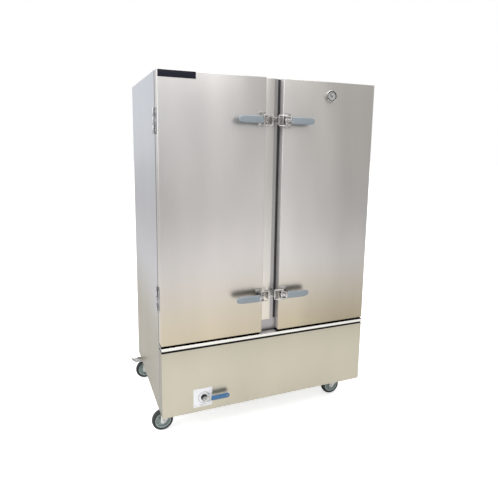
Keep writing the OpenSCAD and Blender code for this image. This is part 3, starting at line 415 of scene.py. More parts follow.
LIP_T = 0.002
LIP_R = 0.0014
LIP_H = 0.013
SHADE_H = 0.001
FADE_OUT, FADE_IN = 0.01, 0.005
gutter_steel = brushed_steel("gutter steel", *[(0.66, 0.65, 0.62)] * 3, 0.24, LEVEL_GRAIN)
tree = gutter_steel.node_tree
shader = tree.nodes["Principled BSDF"]
lo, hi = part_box("drip_gutter")
where = place_of(tree)
# Painted shade: the inside of the trough and the underside of its lip are darkened.
inside = ramp(tree, where["Y"], lo.y + LIP_T, lo.y + 3 * LIP_T)
under = ramp(tree, where["Z"], lo.z + SHADE_H, lo.z + 2 * SHADE_H, 1.0, 0.0)
# Painted light: where light falls in between the doors, the inside is a lighter, less metallic grey.
slot_lo, slot_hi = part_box("left_door_shell")[1].x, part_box("right_door_shell")[0].x
open_slot = maths(tree, "MULTIPLY", ramp(tree, where["X"], slot_lo - FADE_OUT, slot_lo + FADE_IN),
                  ramp(tree, where["X"], slot_hi - FADE_IN, slot_hi + FADE_OUT, 1.0, 0.0))
open_slot = maths(tree, "MULTIPLY", open_slot, inside)
bright = shader.inputs["Base Color"].links[0].from_socket
inside_shaded = blended(tree, maths(tree, "MAXIMUM", inside, under), bright, (0.04, 0.038, 0.034, 1))
slot_lit = blended(tree, open_slot, inside_shaded, (0.50, 0.48, 0.48, 1))
tree.links.new(slot_lit, shader.inputs["Base Color"])
tree.links.new(spread(tree, open_slot, 1.0, 0.1), shader.inputs["Metallic"])
finish_node("drip_gutter", gutter_steel)
bm = bmesh.new()
bmesh.ops.create_cone(bm, cap_ends=True, segments=16, radius1=LIP_R, radius2=LIP_R, depth=hi.x - lo.x)
bmesh.ops.rotate(bm, matrix=Matrix.Rotation(math.pi / 2, 3, "Y"), verts=bm.verts)
bmesh.ops.translate(bm, vec=((lo.x + hi.x) / 2, lo.y + LIP_R, lo.z + LIP_H), verts=bm.verts)
make_piece("gutter_bead", bm, gutter_steel, "cabinet")

# ---- Doors ----
# Each door is a folded stainless tray with rigid foam in it, closed by an inner sheet.
# A black bulb gasket runs round the inner sheet.

DOOR_FOLD_R = 0.0028
SEAL_EDGE = 0.0006
SEAL_GAP = 0.0003
BULB_W = 0.0135
BULB_R = 0.0016
# The door tones run darker and warmer towards the bottom, with a painted shade across and a painted sheen,
# and the right door is painted a little darker than the left: painted light and shade.
left_tones = ((0.59, 0.577, 0.567), (0.468, 0.446, 0.433), (0.47, 0.413, 0.313))
right_tones = ((0.535, 0.52, 0.502), (0.475, 0.457, 0.444), (0.456, 0.397, 0.288))
door_steel = {side: brushed_steel(f"{side} door steel", *tones, 0.34, patches=0.3, across=0.4, sheen=0.22)
              for side, tones in (("left", left_tones), ("right", right_tones))}
fold_steel = brushed_steel("fold steel", (0.56, 0.54, 0.54), (0.56, 0.54, 0.54), (0.56, 0.52, 0.49), 0.55)
fold_steel.node_tree.nodes["Principled BSDF"].inputs["Metallic"].default_value = 0.55
for side in ("left", "right"):
    lo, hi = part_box(f"{side}_door_shell")
    skin = make_piece(f"{side}_door_skin", tray(lo, hi, DOOR_FOLD_R), door_steel[side], f"{side}_door",
                      [f"{side}_door_shell"])
    inner_side = -1 if side == "right" else 1
    second_finish(skin, fold_steel, lambda normal: normal.x * inner_side > 0.95)
    finish_node(f"{side}_door_inner_panel", inner_steel)

moulded_group = bpy.data.node_groups.new("moulded surface", "ShaderNodeTree")
for label, kind in (("Vector", "Vector"), ("Tint", "Color"), ("Mottle", "Float"), ("Gloss", "Float")):
    moulded_group.interface.new_socket(label, in_out="INPUT", socket_type="NodeSocket" + kind)
for label, kind in (("Color", "Color"), ("Roughness", "Float"), ("Height", "Float")):
    moulded_group.interface.new_socket(label, in_out="OUTPUT", socket_type="NodeSocket" + kind)
given = moulded_group.nodes.new("NodeGroupInput")
result = moulded_group.nodes.new("NodeGroupOutput")
fine = noise(moulded_group, given.outputs["Vector"], 6.0, 3.0)
broad = noise(moulded_group, given.outputs["Vector"], 0.35, 2.0)
centred = maths(moulded_group, "SUBTRACT", broad, 0.5)
shift = maths(moulded_group, "MULTIPLY", centred, given.outputs["Mottle"])
lit = moulded_group.nodes.new("ShaderNodeVectorMath")
lit.operation = "SCALE"
moulded_group.links.new(given.outputs["Tint"], lit.inputs[0])
moulded_group.links.new(maths(moulded_group, "ADD", shift, 1.0), lit.inputs["Scale"])
moulded_group.links.new(lit.outputs["Vector"], result.inputs["Color"])
rough = maths(moulded_group, "ADD", given.outputs["Gloss"], maths(moulded_group, "MULTIPLY", shift, 0.4))
moulded_group.links.new(rough, result.inputs["Roughness"])
moulded_group.links.new(fine, result.inputs["Height"])


def moulded(name, tint, gloss, scale=120, mottle=0.25, depth=0.12, metallic=0.0):
    """Moulded, cast or painted surface: fine texture and a broad change of tone."""
    material, tree, shader = new_material(name, metallic)
    surface = tree.nodes.new("ShaderNodeGroup")
    surface.node_tree = moulded_group
    tree.links.new(coordinates(tree, (scale, scale, scale)), surface.inputs["Vector"])
    surface.inputs["Tint"].default_value = (*tint, 1)
    surface.inputs["Mottle"].default_value = mottle
    surface.inputs["Gloss"].default_value = gloss
    bump = tree.nodes.new("ShaderNodeBump")
    bump.inputs["Strength"].default_value = depth
    bump.inputs["Distance"].default_value = 0.0003
    tree.links.new(surface.outputs["Color"], shader.inputs["Base Color"])
    tree.links.new(surface.outputs["Roughness"], shader.inputs["Roughness"])
    tree.links.new(surface.outputs["Height"], bump.inputs["Height"])
    tree.links.new(bump.outputs["Normal"], shader.inputs["Normal"])
    return material


seal_rubber = moulded("seal rubber", (0.018, 0.018, 0.02), 0.55)
# The black rubber seal beside the post is a real seal that also paints the shade in the slot beside the
# right door.
finish_node("post_seal", seal_rubber)
for side in ("left", "right"):
    lo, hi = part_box(f"{side}_door_gasket")
    shell_lo, shell_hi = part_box(f"{side}_door_shell")
    bulb = block((shell_lo.x + SEAL_EDGE, lo.y, shell_lo.z + SEAL_EDGE),
                 (shell_hi.x - SEAL_EDGE, hi.y - SEAL_GAP, shell_hi.z - SEAL_EDGE))
    flats = [f for f in bulb.faces if abs(f.normal.y) > 0.9]
    for flat in flats:
        bmesh.ops.inset_region(bulb, faces=[flat], thickness=BULB_W)
    inner_edges = [e for flat in flats for e in flat.edges]
    bmesh.ops.delete(bulb, geom=flats, context="FACES_ONLY")
    bmesh.ops.bridge_loops(bulb, edges=inner_edges)
    lengthwise = [e for e in bulb.edges
                  if len(e.link_faces) == 2 and e.calc_face_angle() > 1.0
                  and abs(e.verts[0].co.y - e.verts[1].co.y) < 1e-6]
    soften(bulb, BULB_R, 4, lengthwise)
    make_piece(f"{side}_bulb_gasket", bulb, seal_rubber, f"{side}_door", [f"{side}_door_gasket"])

# ---- Centre post and frame ----
# The doors close on a square-tube frame. Between them stands a post with a bright cover
# strip on its left part, which leaves a dark slot beside the right door.

# The post's steel is painted darker than the cover strip: painted shade in the recess behind the strip.
post_steel = brushed_steel("post steel", (0.34, 0.33, 0.33), (0.34, 0.33, 0.33), (0.34, 0.32, 0.33), 0.35)
strip_steel = brushed_steel("strip steel", (0.58, 0.56, 0.54), (0.54, 0.52, 0.50), (0.60, 0.55, 0.47), 0.32)
finish_node("centre_post", post_steel)
STRIP_FOLD_R = 0.002
lo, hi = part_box("post_cover_strip")
make_piece("cover_strip", tray(lo, hi, STRIP_FOLD_R), strip_steel, "cabinet", ["post_cover_strip"])
finish_node("front_frame", inner_steel)

# ---- Hinges ----
# Two hinges on each outer side, pressed from stainless strip and rolled round a pin. Each
# has one leaf screwed to the body, with two knuckles, and one on the door, with one.

hinge_steel = moulded("hinge steel", (0.40, 0.40, 0.41), 0.3, scale=200, mottle=0.6, depth=0.05,
                      metallic=1.0)


def dome(radius, height, segments=24):
    """A low domed screw head with its flat side on z = 0, and a round recess."""
    bm = bmesh.new()
    bmesh.ops.create_cone(bm, cap_ends=True, segments=segments, radius1=radius, radius2=radius * 0.96,
                          depth=height)
    bmesh.ops.translate(bm, vec=(0, 0, height / 2), verts=bm.verts)
    top = max(bm.faces, key=lambda f: f.calc_center_median().z)
    soften(bm, height * 0.6, 3, list(top.edges))
    top = max(bm.faces, key=lambda f: (round(f.calc_center_median().z, 6), f.calc_area()))
    bmesh.ops.inset_region(bm, faces=[top], thickness=radius * 0.3, depth=0.0)
    bmesh.ops.inset_region(bm, faces=[top], thickness=radius * 0.08, depth=-height * 0.4)
    return bm


def placed(bm, at=(0, 0, 0), turn=None):
    """Turns a bmesh about the origin and moves it."""
    if turn is not None:
        bmesh.ops.transform(bm, matrix=turn.to_4x4(), verts=bm.verts)
    bmesh.ops.translate(bm, vec=Vector(at), verts=bm.verts)
    return bm


FACING = {"-y": Matrix.Rotation(math.pi / 2, 3, "X"), "-x": Matrix.Rotation(-math.pi / 2, 3, "Y"),
          "+x": Matrix.Rotation(math.pi / 2, 3, "Y")}


def rod(radius, a, b, segments=32, cap=0.0):
    """A rod between two points, with its end edges rounded if cap is given."""
    a, b = Vector(a), Vector(b)
    bm = bmesh.new()
    bmesh.ops.create_cone(bm, cap_ends=True, segments=segments, radius1=radius, radius2=radius,
                          depth=(b - a).length)
    if cap:
        rims = [e for e in bm.edges if e.calc_face_angle() > 1.0]
        soften(bm, cap, 2, rims)
    return placed(bm, (a + b) / 2, (b - a).to_track_quat("Z", "Y").to_matrix())


def joint_at(name):
    """Where a joint's axis goes through, in the frame at rest."""
    return Vector(next(j["pos_m"] for j in frame["joints"] if j["name"] == name))


HINGE_H = 0.105
HINGE_CAP = 0.002
HINGE_EDGE = 0.0006
HINGE_PIN_R = 0.004
WEB_T = 0.004
HINGE_SCREW = (0.004, 0.0016)
KNUCKLE_R = 0.0055
KNUCKLE_OUT = 0.006
LEAF_T = 0.002
LEAF_W = 0.026
LEAF_START = 0.0062
KNUCKLE_GAP = 0.00025
SCREW_ROWS = (-0.36, 0, 0.36)


def hinge_leaf(outward, along, knuckles):
    """A leaf that starts at the hinge's axis and runs along y, with its screws facing outward."""
    inner = -outward * KNUCKLE_OUT
    outer = inner + outward * LEAF_T
    near, far = sorted((along * LEAF_START, along * (LEAF_START + LEAF_W)))
    parts = [soften(block((min(inner, outer), near, -HINGE_H / 2), (max(inner, outer), far, HINGE_H / 2)),
                    HINGE_EDGE, 2)]
    for k in knuckles:
        z0 = -HINGE_H / 2 + k * HINGE_H / 3 + (KNUCKLE_GAP if k else 0)
        z1 = -HINGE_H / 2 + (k + 1) * HINGE_H / 3 - (KNUCKLE_GAP if k < 2 else 0)
        parts.append(rod(KNUCKLE_R, (0, 0, z0), (0, 0, z1), cap=HINGE_EDGE))
        web_near, web_far = sorted((0, along * (LEAF_START + 0.001)))
        web_in, web_out = sorted((inner, inner + outward * WEB_T))
        parts.append(soften(block((web_in, web_near, z0), (web_out, web_far, z1)), 0.0005, 2))
    for row in SCREW_ROWS:
        at = (outer, along * (LEAF_START + LEAF_W * 0.6), row * HINGE_H)
        parts.append(placed(dome(*HINGE_SCREW), at, FACING["+x" if outward > 0 else "-x"]))
    return joined(*parts)


lo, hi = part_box("frame_hinge_leaves")
hinge_heights = (lo.z + HINGE_H / 2, hi.z - HINGE_H / 2 - HINGE_CAP)
body_leaves = []
for side, outward in (("left", -1), ("right", 1)):
    axis = joint_at(f"{side}_door_hinge")
    door_leaves = []
    for height in hinge_heights:
        at = (axis.x, axis.y, height)
        body_leaves.append(placed(hinge_leaf(outward, 1, (0, 2)), at))
        pin_head = rod(HINGE_PIN_R, (0, 0, HINGE_H / 2), (0, 0, HINGE_H / 2 + HINGE_CAP), cap=HINGE_EDGE)
        body_leaves.append(placed(pin_head, at))
        door_leaves.append(placed(hinge_leaf(outward, -1, (1,)), at))
    make_piece(f"{side}_door_hinges", joined(*door_leaves), hinge_steel, f"{side}_door",
               [f"{side}_door_hinge_leaves"])
make_piece("body_hinges", joined(*body_leaves), hinge_steel, "cabinet", ["frame_hinge_leaves"])

# ---- Latches ----
# Four over-centre latches hold the doors against the centre post. Each is a plated base with
# two ears, a lever on a pin with a grey-blue plastic grip, and a wire bail that hooks on the
# keeper. The levers swing out and the bail comes off with them.

# The plated and wire steel are dark, with a large mottle that paints dark and bright specks: painted
# reflection.
plated = moulded("bright plate", (0.42, 0.41, 0.40), 0.24, scale=300, mottle=1.2, depth=0.05, metallic=1.0)
grip_plastic = moulded("grip plastic", (0.18, 0.21, 0.235), 0.36, scale=90, mottle=0.2, depth=0.08)
wire_steel = moulded("bail wire", (0.56, 0.55, 0.54), 0.22, scale=240, mottle=1.2, depth=0.03, metallic=1.0)
keeper_lo, keeper_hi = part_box("latch_keepers")
CENTRE_X = (keeper_lo.x + keeper_hi.x) / 2
BASE_T = 0.003
EAR_Z = (0.009, 0.013)
CHEEK_Z = (0.0135, 0.0175)
CHEEK_R = 0.011
GRIP_START, GRIP_L, GRIP_FRONT = 0.0682, 0.1125, -0.043
GRIP_H = 0.031
GRIP_T = 0.013
GRIP_BOW = 0.003
# Places on a latch are measured from the cabinet's centre line and the door's face.
PIVOT_X = 0.052
HOOK_X = 0.058
BASE_X = (0.049, 0.073)
BASE_Z = (-0.029, 0.029)
EAR_R = 0.007
EAR_FOOT = 0.004
LATCH_PIN_R, LATCH_PIN_HALF = 0.004, 0.018
LATCH_SCREW, LATCH_SCREW_X = (0.0045, 0.0025), 0.069
BARREL_R, BARREL_HALF = 0.0105, 0.0085
NECK_X, NECK_Y, NECK_R = 0.065, -0.036, 0.003
CORE_LO, CORE_HI = (0.065, -0.039, -0.010), (0.169, -0.035, 0.010)
BAIL_R = 0.0019
BAIL_HALF_H = 0.0225
BAIL_END = (0.015, -0.014)


def plate_round(circles, z0, z1, edge=0.0006, segments=24):
    """A flat plate round several circles (x, y, radius), from z0 to z1."""
    bm = bmesh.new()
    for x, y, radius in circles:
        made = bmesh.ops.create_cone(bm, cap_ends=True, segments=segments, radius1=radius,
                                     radius2=radius, depth=z1 - z0)
        bmesh.ops.translate(bm, vec=(x, y, (z0 + z1) / 2), verts=made["verts"])
    hull = bmesh.ops.convex_hull(bm, input=bm.verts)
    loose = [g for g in hull["geom_interior"] + hull["geom_unused"] if isinstance(g, bmesh.types.BMVert)]
    bmesh.ops.delete(bm, geom=list(set(loose)), context="VERTS")
    bmesh.ops.dissolve_limit(bm, angle_limit=0.02, verts=bm.verts, edges=bm.edges)
    if edge:
        soften(bm, edge, 2, [e for e in bm.edges if e.is_manifold and e.calc_face_angle() > 1.0])
    return bm


def wire(points, radius, bend=0.004, steps=6):
    """A round wire through points, with its corners bent."""
    path = [Vector(points[0])]
    for before, corner, after in zip(points, points[1:], points[2:]):
        before, corner, after = Vector(before), Vector(corner), Vector(after)
        start = corner + (before - corner).normalized() * bend
        end = corner + (after - corner).normalized() * bend
        for i in range(steps + 1):
            t = i / steps
            path.append(start * (1 - t) ** 2 + corner * 2 * t * (1 - t) + end * t ** 2)
    path.append(Vector(points[-1]))
    curve = bpy.data.curves.new("wire", "CURVE")
    curve.dimensions = "3D"
    curve.bevel_depth = radius
    curve.bevel_resolution = 4
    curve.use_fill_caps = True
    spline = curve.splines.new("POLY")
    spline.points.add(len(path) - 1)
    for point, at in zip(spline.points, path):
        point.co = (*at, 1)
    holder = bpy.data.objects.new("wire", curve)
    mesh = bpy.data.meshes.new_from_object(holder)
    bm = bmesh.new()
    bm.from_mesh(mesh)
    bmesh.ops.remove_doubles(bm, verts=bm.verts, dist=1e-6)
    bpy.data.objects.remove(holder)
    bpy.data.curves.remove(curve)
    bpy.data.meshes.remove(mesh)
    return bm


def grip(x0, length, front):
    """A bowed bar that tapers to a round end, on the lever's steel core."""
    bm = block((x0, front, -GRIP_H / 2), (x0 + length, front + GRIP_T, GRIP_H / 2))
    long_edges = [e for e in bm.edges if abs(e.verts[0].co.x - e.verts[1].co.x) > 1e-4]
    bmesh.ops.subdivide_edges(bm, edges=long_edges, cuts=11, use_grid_fill=True)
    for vert in bm.verts:
        along = (vert.co.x - x0) / length
        vert.co.y += GRIP_BOW * (2 * along - 1) ** 2
        tip = max(0.0, (along - 0.72) / 0.28)
        vert.co.z *= 1 - 0.42 * tip ** 2.2
        if vert.co.y > front + GRIP_T * 0.6:
            vert.co.y -= GRIP_BOW * tip ** 2
    return soften(bm, 0.0062, 5, [e for e in bm.edges if e.calc_face_angle() > math.radians(50)])


def settle(bm, centre, mirror):
    """Puts a right-hand latch piece in its place, mirrored for the left."""
    bmesh.ops.scale(bm, vec=(mirror, 1, 1), verts=bm.verts)
    if mirror < 0:
        bmesh.ops.reverse_faces(bm, faces=bm.faces)
    bmesh.ops.translate(bm, vec=centre, verts=bm.verts)
    return bm


def both_sides(near, far):
    """The same span of z above and below the middle."""
    return (near, far), (-far, -near)


for side, mirror in (("left", -1), ("right", 1)):
    bases = []
    face_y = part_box(f"{side}_door_shell")[0].y
    for level in ("lower", "upper"):
        pivot = joint_at(f"{level}_{side}_lever_pivot")
        hook = joint_at(f"{level}_{side}_bail_pivot")
        centre = Vector((pivot.x - mirror * PIVOT_X, face_y, pivot.z))
        pivot_y, hook_y = pivot.y - face_y, hook.y - face_y

        base_plate = plate_round([(x, z, 0.005) for x in BASE_X for z in BASE_Z], 0, BASE_T)
        parts = [placed(base_plate, turn=FACING["-y"])]
        for z0, z1 in both_sides(*EAR_Z):
            parts.append(plate_round([(PIVOT_X, pivot_y, EAR_R), (PIVOT_X - EAR_FOOT, -EAR_FOOT, 0.003),
                                      (PIVOT_X + EAR_FOOT, -EAR_FOOT, 0.003)], z0, z1))
        parts.append(rod(LATCH_PIN_R, (PIVOT_X, pivot_y, -LATCH_PIN_HALF),
                         (PIVOT_X, pivot_y, LATCH_PIN_HALF), cap=0.001))
        for z in BASE_Z:
            parts.append(placed(dome(*LATCH_SCREW), (LATCH_SCREW_X, -BASE_T, z), FACING["-y"]))
        bases.append(settle(joined(*parts), centre, mirror))

        lever = []
        for z0, z1 in both_sides(*CHEEK_Z):
            lever.append(plate_round([(PIVOT_X, pivot_y, CHEEK_R), (HOOK_X, hook_y, 0.005),
                                      (NECK_X, NECK_Y, NECK_R), (NECK_X, -0.0200, NECK_R)], z0, z1))
        lever.append(rod(BARREL_R, (PIVOT_X, pivot_y, -BARREL_HALF), (PIVOT_X, pivot_y, BARREL_HALF),
                         cap=0.0015))
        lever.append(plate_round([(0.0645, NECK_Y, NECK_R), (0.0645, -0.0215, 0.0035)],
                                 -CHEEK_Z[1], CHEEK_Z[1]))
        lever.append(plate_round([(PIVOT_X + 0.003, -0.0245, 0.0035), (0.064, -0.030, 0.004)],
                                 -BARREL_HALF, BARREL_HALF))
        lever.append(soften(block(CORE_LO, CORE_HI), 0.0008, 2))
        lever_body = f"{level}_{side}_lever"
        make_piece(f"{lever_body}_steel", settle(joined(*lever), centre, mirror), plated, lever_body,
                   [lever_body])
        make_piece(f"{lever_body}_grip", settle(grip(GRIP_START, GRIP_L, GRIP_FRONT), centre, mirror),
                   grip_plastic, lever_body, [lever_body])
        loop = wire([(HOOK_X, hook_y, CHEEK_Z[0]), (HOOK_X, hook_y, BAIL_HALF_H), (*BAIL_END, BAIL_HALF_H),
                     (*BAIL_END, -BAIL_HALF_H), (HOOK_X, hook_y, -BAIL_HALF_H),
                     (HOOK_X, hook_y, -CHEEK_Z[0])], BAIL_R)
        make_piece(f"{level}_{side}_bail_wire", settle(loop, centre, mirror), wire_steel,
                   f"{level}_{side}_bail", [f"{level}_{side}_bail"])
    make_piece(f"{side}_latch_plates", joined(*bases), plated, f"{side}_door", [f"{side}_latch_bases"])

KEEPER_HALF_W = (keeper_hi.x - keeper_lo.x) / 2
KEEPER_HALF_H = 0.017
LIP_WALL = 0.0025
FOOT_START, FOOT_DEEP = 0.0045, 0.015
KEEPER_SCREW, KEEPER_SCREW_X, KEEPER_SCREW_Z = (0.0032, 0.0018), 0.0125, 0.010
strip_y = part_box("post_cover_strip")[0].y
keepers = []
for level in ("lower", "upper"):
    pivot_z = joint_at(f"{level}_left_lever_pivot").z
    z0, z1 = pivot_z - KEEPER_HALF_H, pivot_z + KEEPER_HALF_H
    keepers.append(soften(block((CENTRE_X - KEEPER_HALF_W, strip_y - BASE_T, z0),
                                (CENTRE_X + KEEPER_HALF_W, strip_y, z1)), 0.0006, 2))
    for x in (CENTRE_X - KEEPER_HALF_W, CENTRE_X + KEEPER_HALF_W - LIP_WALL):
        keepers.append(soften(block((x, keeper_lo.y, z0), (x + LIP_WALL, strip_y, z1)), 0.0009, 3))
    keepers.append(soften(block((CENTRE_X + FOOT_START, strip_y, z0),
                                (CENTRE_X + KEEPER_HALF_W, strip_y + FOOT_DEEP, z1)), 0.0006, 2))
    for dz in (-KEEPER_SCREW_Z, KEEPER_SCREW_Z):
        at = (CENTRE_X + KEEPER_SCREW_X, strip_y - BASE_T, pivot_z + dz)
        keepers.append(placed(dome(*KEEPER_SCREW), at, FACING["-y"]))
make_piece("keepers", joined(*keepers), plated, "cabinet", ["latch_keepers"])

# ---- Thermometer ----
# A dial thermometer with a spun bezel, a white face with plain ticks, a thin pointer and a
# glass. Its probe goes through the right door.

# Depths are measured from the bezel's front.
GAUGE_R = 0.027
GAUGE_T = 0.012
FACE_R = 0.0235
FACE_DEPTHS = (0.0026, 0.0031)
RING_W = 0.0032
RING_DEPTH = 0.0025
GLASS_DEPTHS = (0.00005, 0.0006)
TICK_COUNT = 31
TICK_DEPTHS = (0.0022, 0.0027)
LONG_TICK, SHORT_TICK = (0.0092, 0.0003), (0.0068, 0.00018)
lo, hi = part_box("thermometer")
gauge_centre = joint_at("thermometer_pointer_turn")
gauge_centre.y = lo.y


def at_depth(depth):
    """A point on the thermometer's axis."""
    return gauge_centre + Vector((0, depth, 0))


def spun(outline, at=(0, 0, 0), turn=None, steps=64):
    """A solid of revolution round z from its outline of (radius, height) points."""
    bm = bmesh.new()
    verts = [bm.verts.new((r, 0, z)) for r, z in outline]
    edges = [bm.edges.new((a, b)) for a, b in zip(verts, verts[1:])]
    bmesh.ops.spin(bm, geom=verts + edges, cent=(0, 0, 0), axis=(0, 0, 1), angle=2 * math.pi,
                   steps=steps, use_merge=True)
    bmesh.ops.remove_doubles(bm, verts=bm.verts, dist=1e-6)
    return placed(bm, at, turn)


bezel = spun([(0, -0.0001), (GAUGE_R - 0.001, -0.0001), (GAUGE_R, 0.0015), (GAUGE_R, GAUGE_T - 0.002),
              (GAUGE_R - 0.0008, GAUGE_T - 0.0006), (GAUGE_R - 0.002, GAUGE_T),
              (FACE_R + 0.0004, GAUGE_T - 0.0006), (FACE_R, GAUGE_T - 0.0018), (FACE_R, GAUGE_T - 0.003),
              (0, GAUGE_T - 0.003)], at_depth(GAUGE_T), FACING["-y"])
probe = rod(0.004, at_depth(GAUGE_T - 0.001), (gauge_centre.x, hi.y, gauge_centre.z), cap=0.001)
make_piece("thermometer_case", joined(bezel, probe), plated, "right_door", ["thermometer"])
dial_white = moulded("dial white", (0.80, 0.80, 0.79), 0.4, scale=100, mottle=0.04, depth=0.01)
dial_black = moulded("dial black", (0.02, 0.02, 0.022), 0.45, scale=100, mottle=0.1, depth=0.02)
face = rod(FACE_R - 0.0004, at_depth(FACE_DEPTHS[0]), at_depth(FACE_DEPTHS[1]), 64)
make_piece("thermometer_face", face, dial_white, "right_door")
# A black ring round the edge of the face is a painted shadow of the bezel.
shade_ring = spun([(FACE_R - RING_W, -0.0001), (FACE_R - 0.0002, -0.0001), (FACE_R - 0.0002, 0.0004),
                   (FACE_R - RING_W, 0.0004), (FACE_R - RING_W, -0.0001)],
                  at_depth(RING_DEPTH), FACING["-y"])
make_piece("thermometer_bezel_shadow", shade_ring, dial_black, "right_door")
ticks = []
for i in range(TICK_COUNT):
    angle = math.radians(225 - 270 * i / (TICK_COUNT - 1))
    length, half_w = LONG_TICK if i % 5 == 0 else SHORT_TICK
    tick = block((FACE_R - length, TICK_DEPTHS[0], -half_w), (FACE_R - RING_W, TICK_DEPTHS[1], half_w))
    ticks.append(placed(tick, gauge_centre, Matrix.Rotation(-angle, 3, "Y")))
make_piece("thermometer_ticks", joined(*ticks), dial_black, "right_door")
finish_node("thermometer_pointer", dial_black)
glass, tree, shader = new_material("gauge glass")
shader.inputs["IOR"].default_value = 1.45
shader.inputs["Transmission Weight"].default_value = 1.0
smear = spread(tree, noise(tree, coordinates(tree, (60, 60, 60)), 1.0), 0.02, 0.08)
tree.links.new(smear, shader.inputs["Roughness"])
pane = rod(FACE_R - 0.0001, at_depth(GLASS_DEPTHS[0]), at_depth(GLASS_DEPTHS[1]), 64)
make_piece("thermometer_glass", pane, glass, "right_door")

# ---- Name plate ----
# A thin black plate with softened edges, fixed flat at the top of the left door. It carries
# no lettering.

plate_black = moulded("plate black", (0.010, 0.011, 0.018), 0.42, scale=80, mottle=0.1, depth=0.01)
plate_black.node_tree.nodes["Principled BSDF"].inputs["Specular IOR Level"].default_value = 0.12
lo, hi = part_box("name_plate")
make_piece("blank_plate", soften(block(lo, hi), 0.0006, 2), plate_black, "left_door", ["name_plate"])

# ---- Drain valve ----
# A ball valve on the tank's drain. Its stem comes out through a white plate on the lower
# panel, and a steel lever with a blue dipped sleeve turns it.

plate_white = moulded("plate white", (0.66, 0.665, 0.69), 0.3, scale=80, mottle=0.05, depth=0.01)
print_grey = moulded("print grey", (0.16, 0.16, 0.17), 0.45, scale=80, mottle=0.1, depth=0.01)
valve_brass = moulded("plated brass", (0.62, 0.56, 0.42), 0.3, scale=150, mottle=0.2, depth=0.1,
                      metallic=1.0)
blue_sleeve = moulded("blue sleeve", (0.026, 0.105, 0.225), 0.38, scale=110, mottle=0.15, depth=0.06)
lever_metal = moulded("lever metal", (0.44, 0.44, 0.43), 0.25, scale=240, mottle=1.4, depth=0.05,
                      metallic=1.0)
finish_node("drain_line", valve_brass)
finish_node("valve_plate", plate_white)
VALVE_AT = joint_at("valve_lever_turn")
plate_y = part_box("valve_plate")[0].y
PLATE_SHEET = 0.001
LEVER_OUT = 0.022
LEVER_L = 0.116
LEVER_HALF_T = 0.0015
SLEEVE_START = 0.028
SLEEVE_R = 0.011
SLEEVE_HALF_T = 0.0036
RING_R = 0.026
RING_MARKS = 26
MARK_HALF_L, MARK_T, MARK_HALF_W = 0.0024, 0.00012, 0.0008
BAR_START, BAR_END, BAR_INDENT = -0.022, 0.010, 0.004
BAR_DOWN, BAR_STEP, BAR_H, BAR_T = 0.034, 0.005, 0.0012, 0.0001
BUSH_R = 0.0145
STEM_R = 0.006
STEM_NUT_R = 0.0105
WASHER_R = 0.0115
BALL_R = 0.0168
lever_y = plate_y + PLATE_SHEET - LEVER_OUT


def on_stem(y, along=0.0):
    """A point on the valve stem's axis, or beside it along the lever."""
    return Vector((VALVE_AT.x + along, y, VALVE_AT.z))


# A printed ring round the hole, broken on the side where the lever turns, and two short bars.
marks = []
for i in range(RING_MARKS):
    angle = math.radians(20 + i * 10)
    mark = soften(block((-MARK_HALF_L, -MARK_T, -MARK_HALF_W), (MARK_HALF_L, 0.0, MARK_HALF_W)), 0.00003, 1)
    at = (RING_R * math.cos(angle), 0, RING_R * math.sin(angle))
    turned = placed(mark, at, Matrix.Rotation(-angle - math.pi / 2, 3, "Y"))
    marks.append(placed(turned, on_stem(plate_y)))
for row in range(2):
    z = VALVE_AT.z - BAR_DOWN - row * BAR_STEP
    marks.append(block((VALVE_AT.x + BAR_START + row * BAR_INDENT, plate_y - BAR_T, z),
                       (VALVE_AT.x + BAR_END - row * BAR_INDENT, plate_y, z + BAR_H)))
make_piece("valve_plate_marks", joined(*marks), print_grey, "cabinet")
# The black bush round the stem fills the hole and paints the shadow in it.
bush_and_hole_shadow = spun([(0.0068, -0.0006), (BUSH_R, -0.0006), (BUSH_R, 0.0012), (BUSH_R - 0.0012, 0.0022),
             (0.0105, 0.0022), (0.0100, 0.0006), (0.0068, 0.0004), (0.0068, -0.0006)],
            on_stem(plate_y), FACING["-y"])
make_piece("valve_stem_bush_and_hole_shadow", bush_and_hole_shadow, seal_rubber, "cabinet")

# The stem, its nut and washer, the flat lever and the ball inside the valve turn as one.
flat_lever = plate_round([(0, 0, 0.0125), (LEVER_L - 0.022, 0, 0.007)], -LEVER_HALF_T, LEVER_HALF_T)
ball = bmesh.new()
bmesh.ops.create_uvsphere(ball, u_segments=32, v_segments=20, radius=BALL_R)
stem_parts = [
    rod(STEM_R, on_stem(lever_y - 0.008), on_stem(VALVE_AT.y - 0.014), cap=0.001),
    soften(rod(STEM_NUT_R, on_stem(lever_y - 0.007), on_stem(lever_y - LEVER_HALF_T), 6), 0.0007, 2),
    rod(WASHER_R, on_stem(lever_y + LEVER_HALF_T), on_stem(lever_y + 0.004), cap=0.0006),
    placed(flat_lever, on_stem(lever_y), FACING["-y"]),
    placed(ball, VALVE_AT)]
make_piece("valve_lever_steel", joined(*stem_parts), lever_metal, "valve_lever", ["valve_lever"])
sleeve = plate_round([(SLEEVE_START + 0.004, z, 0.004) for z in (-0.007, 0.007)]
                     + [(LEVER_L - SLEEVE_R, 0, SLEEVE_R)], -SLEEVE_HALF_T, SLEEVE_HALF_T,
                     edge=0.0022, segments=32)
sleeve = placed(sleeve, on_stem(lever_y), FACING["-y"])
eyelet = rod(0.0040, on_stem(lever_y - 0.0038, LEVER_L - SLEEVE_R),
             on_stem(lever_y - 0.0030, LEVER_L - SLEEVE_R), cap=0.0002)
make_piece("valve_lever_sleeve", sleeve, blue_sleeve, "valve_lever", ["valve_lever"])
make_piece("valve_lever_eyelet", eyelet, print_grey, "valve_lever")

# ---- Casters ----
# Swivel casters with 100 mm wheels. The forks are zinc-plated pressings and the wheels have
# grey hubs with dark tyres. The two rear ones have a brake pedal.

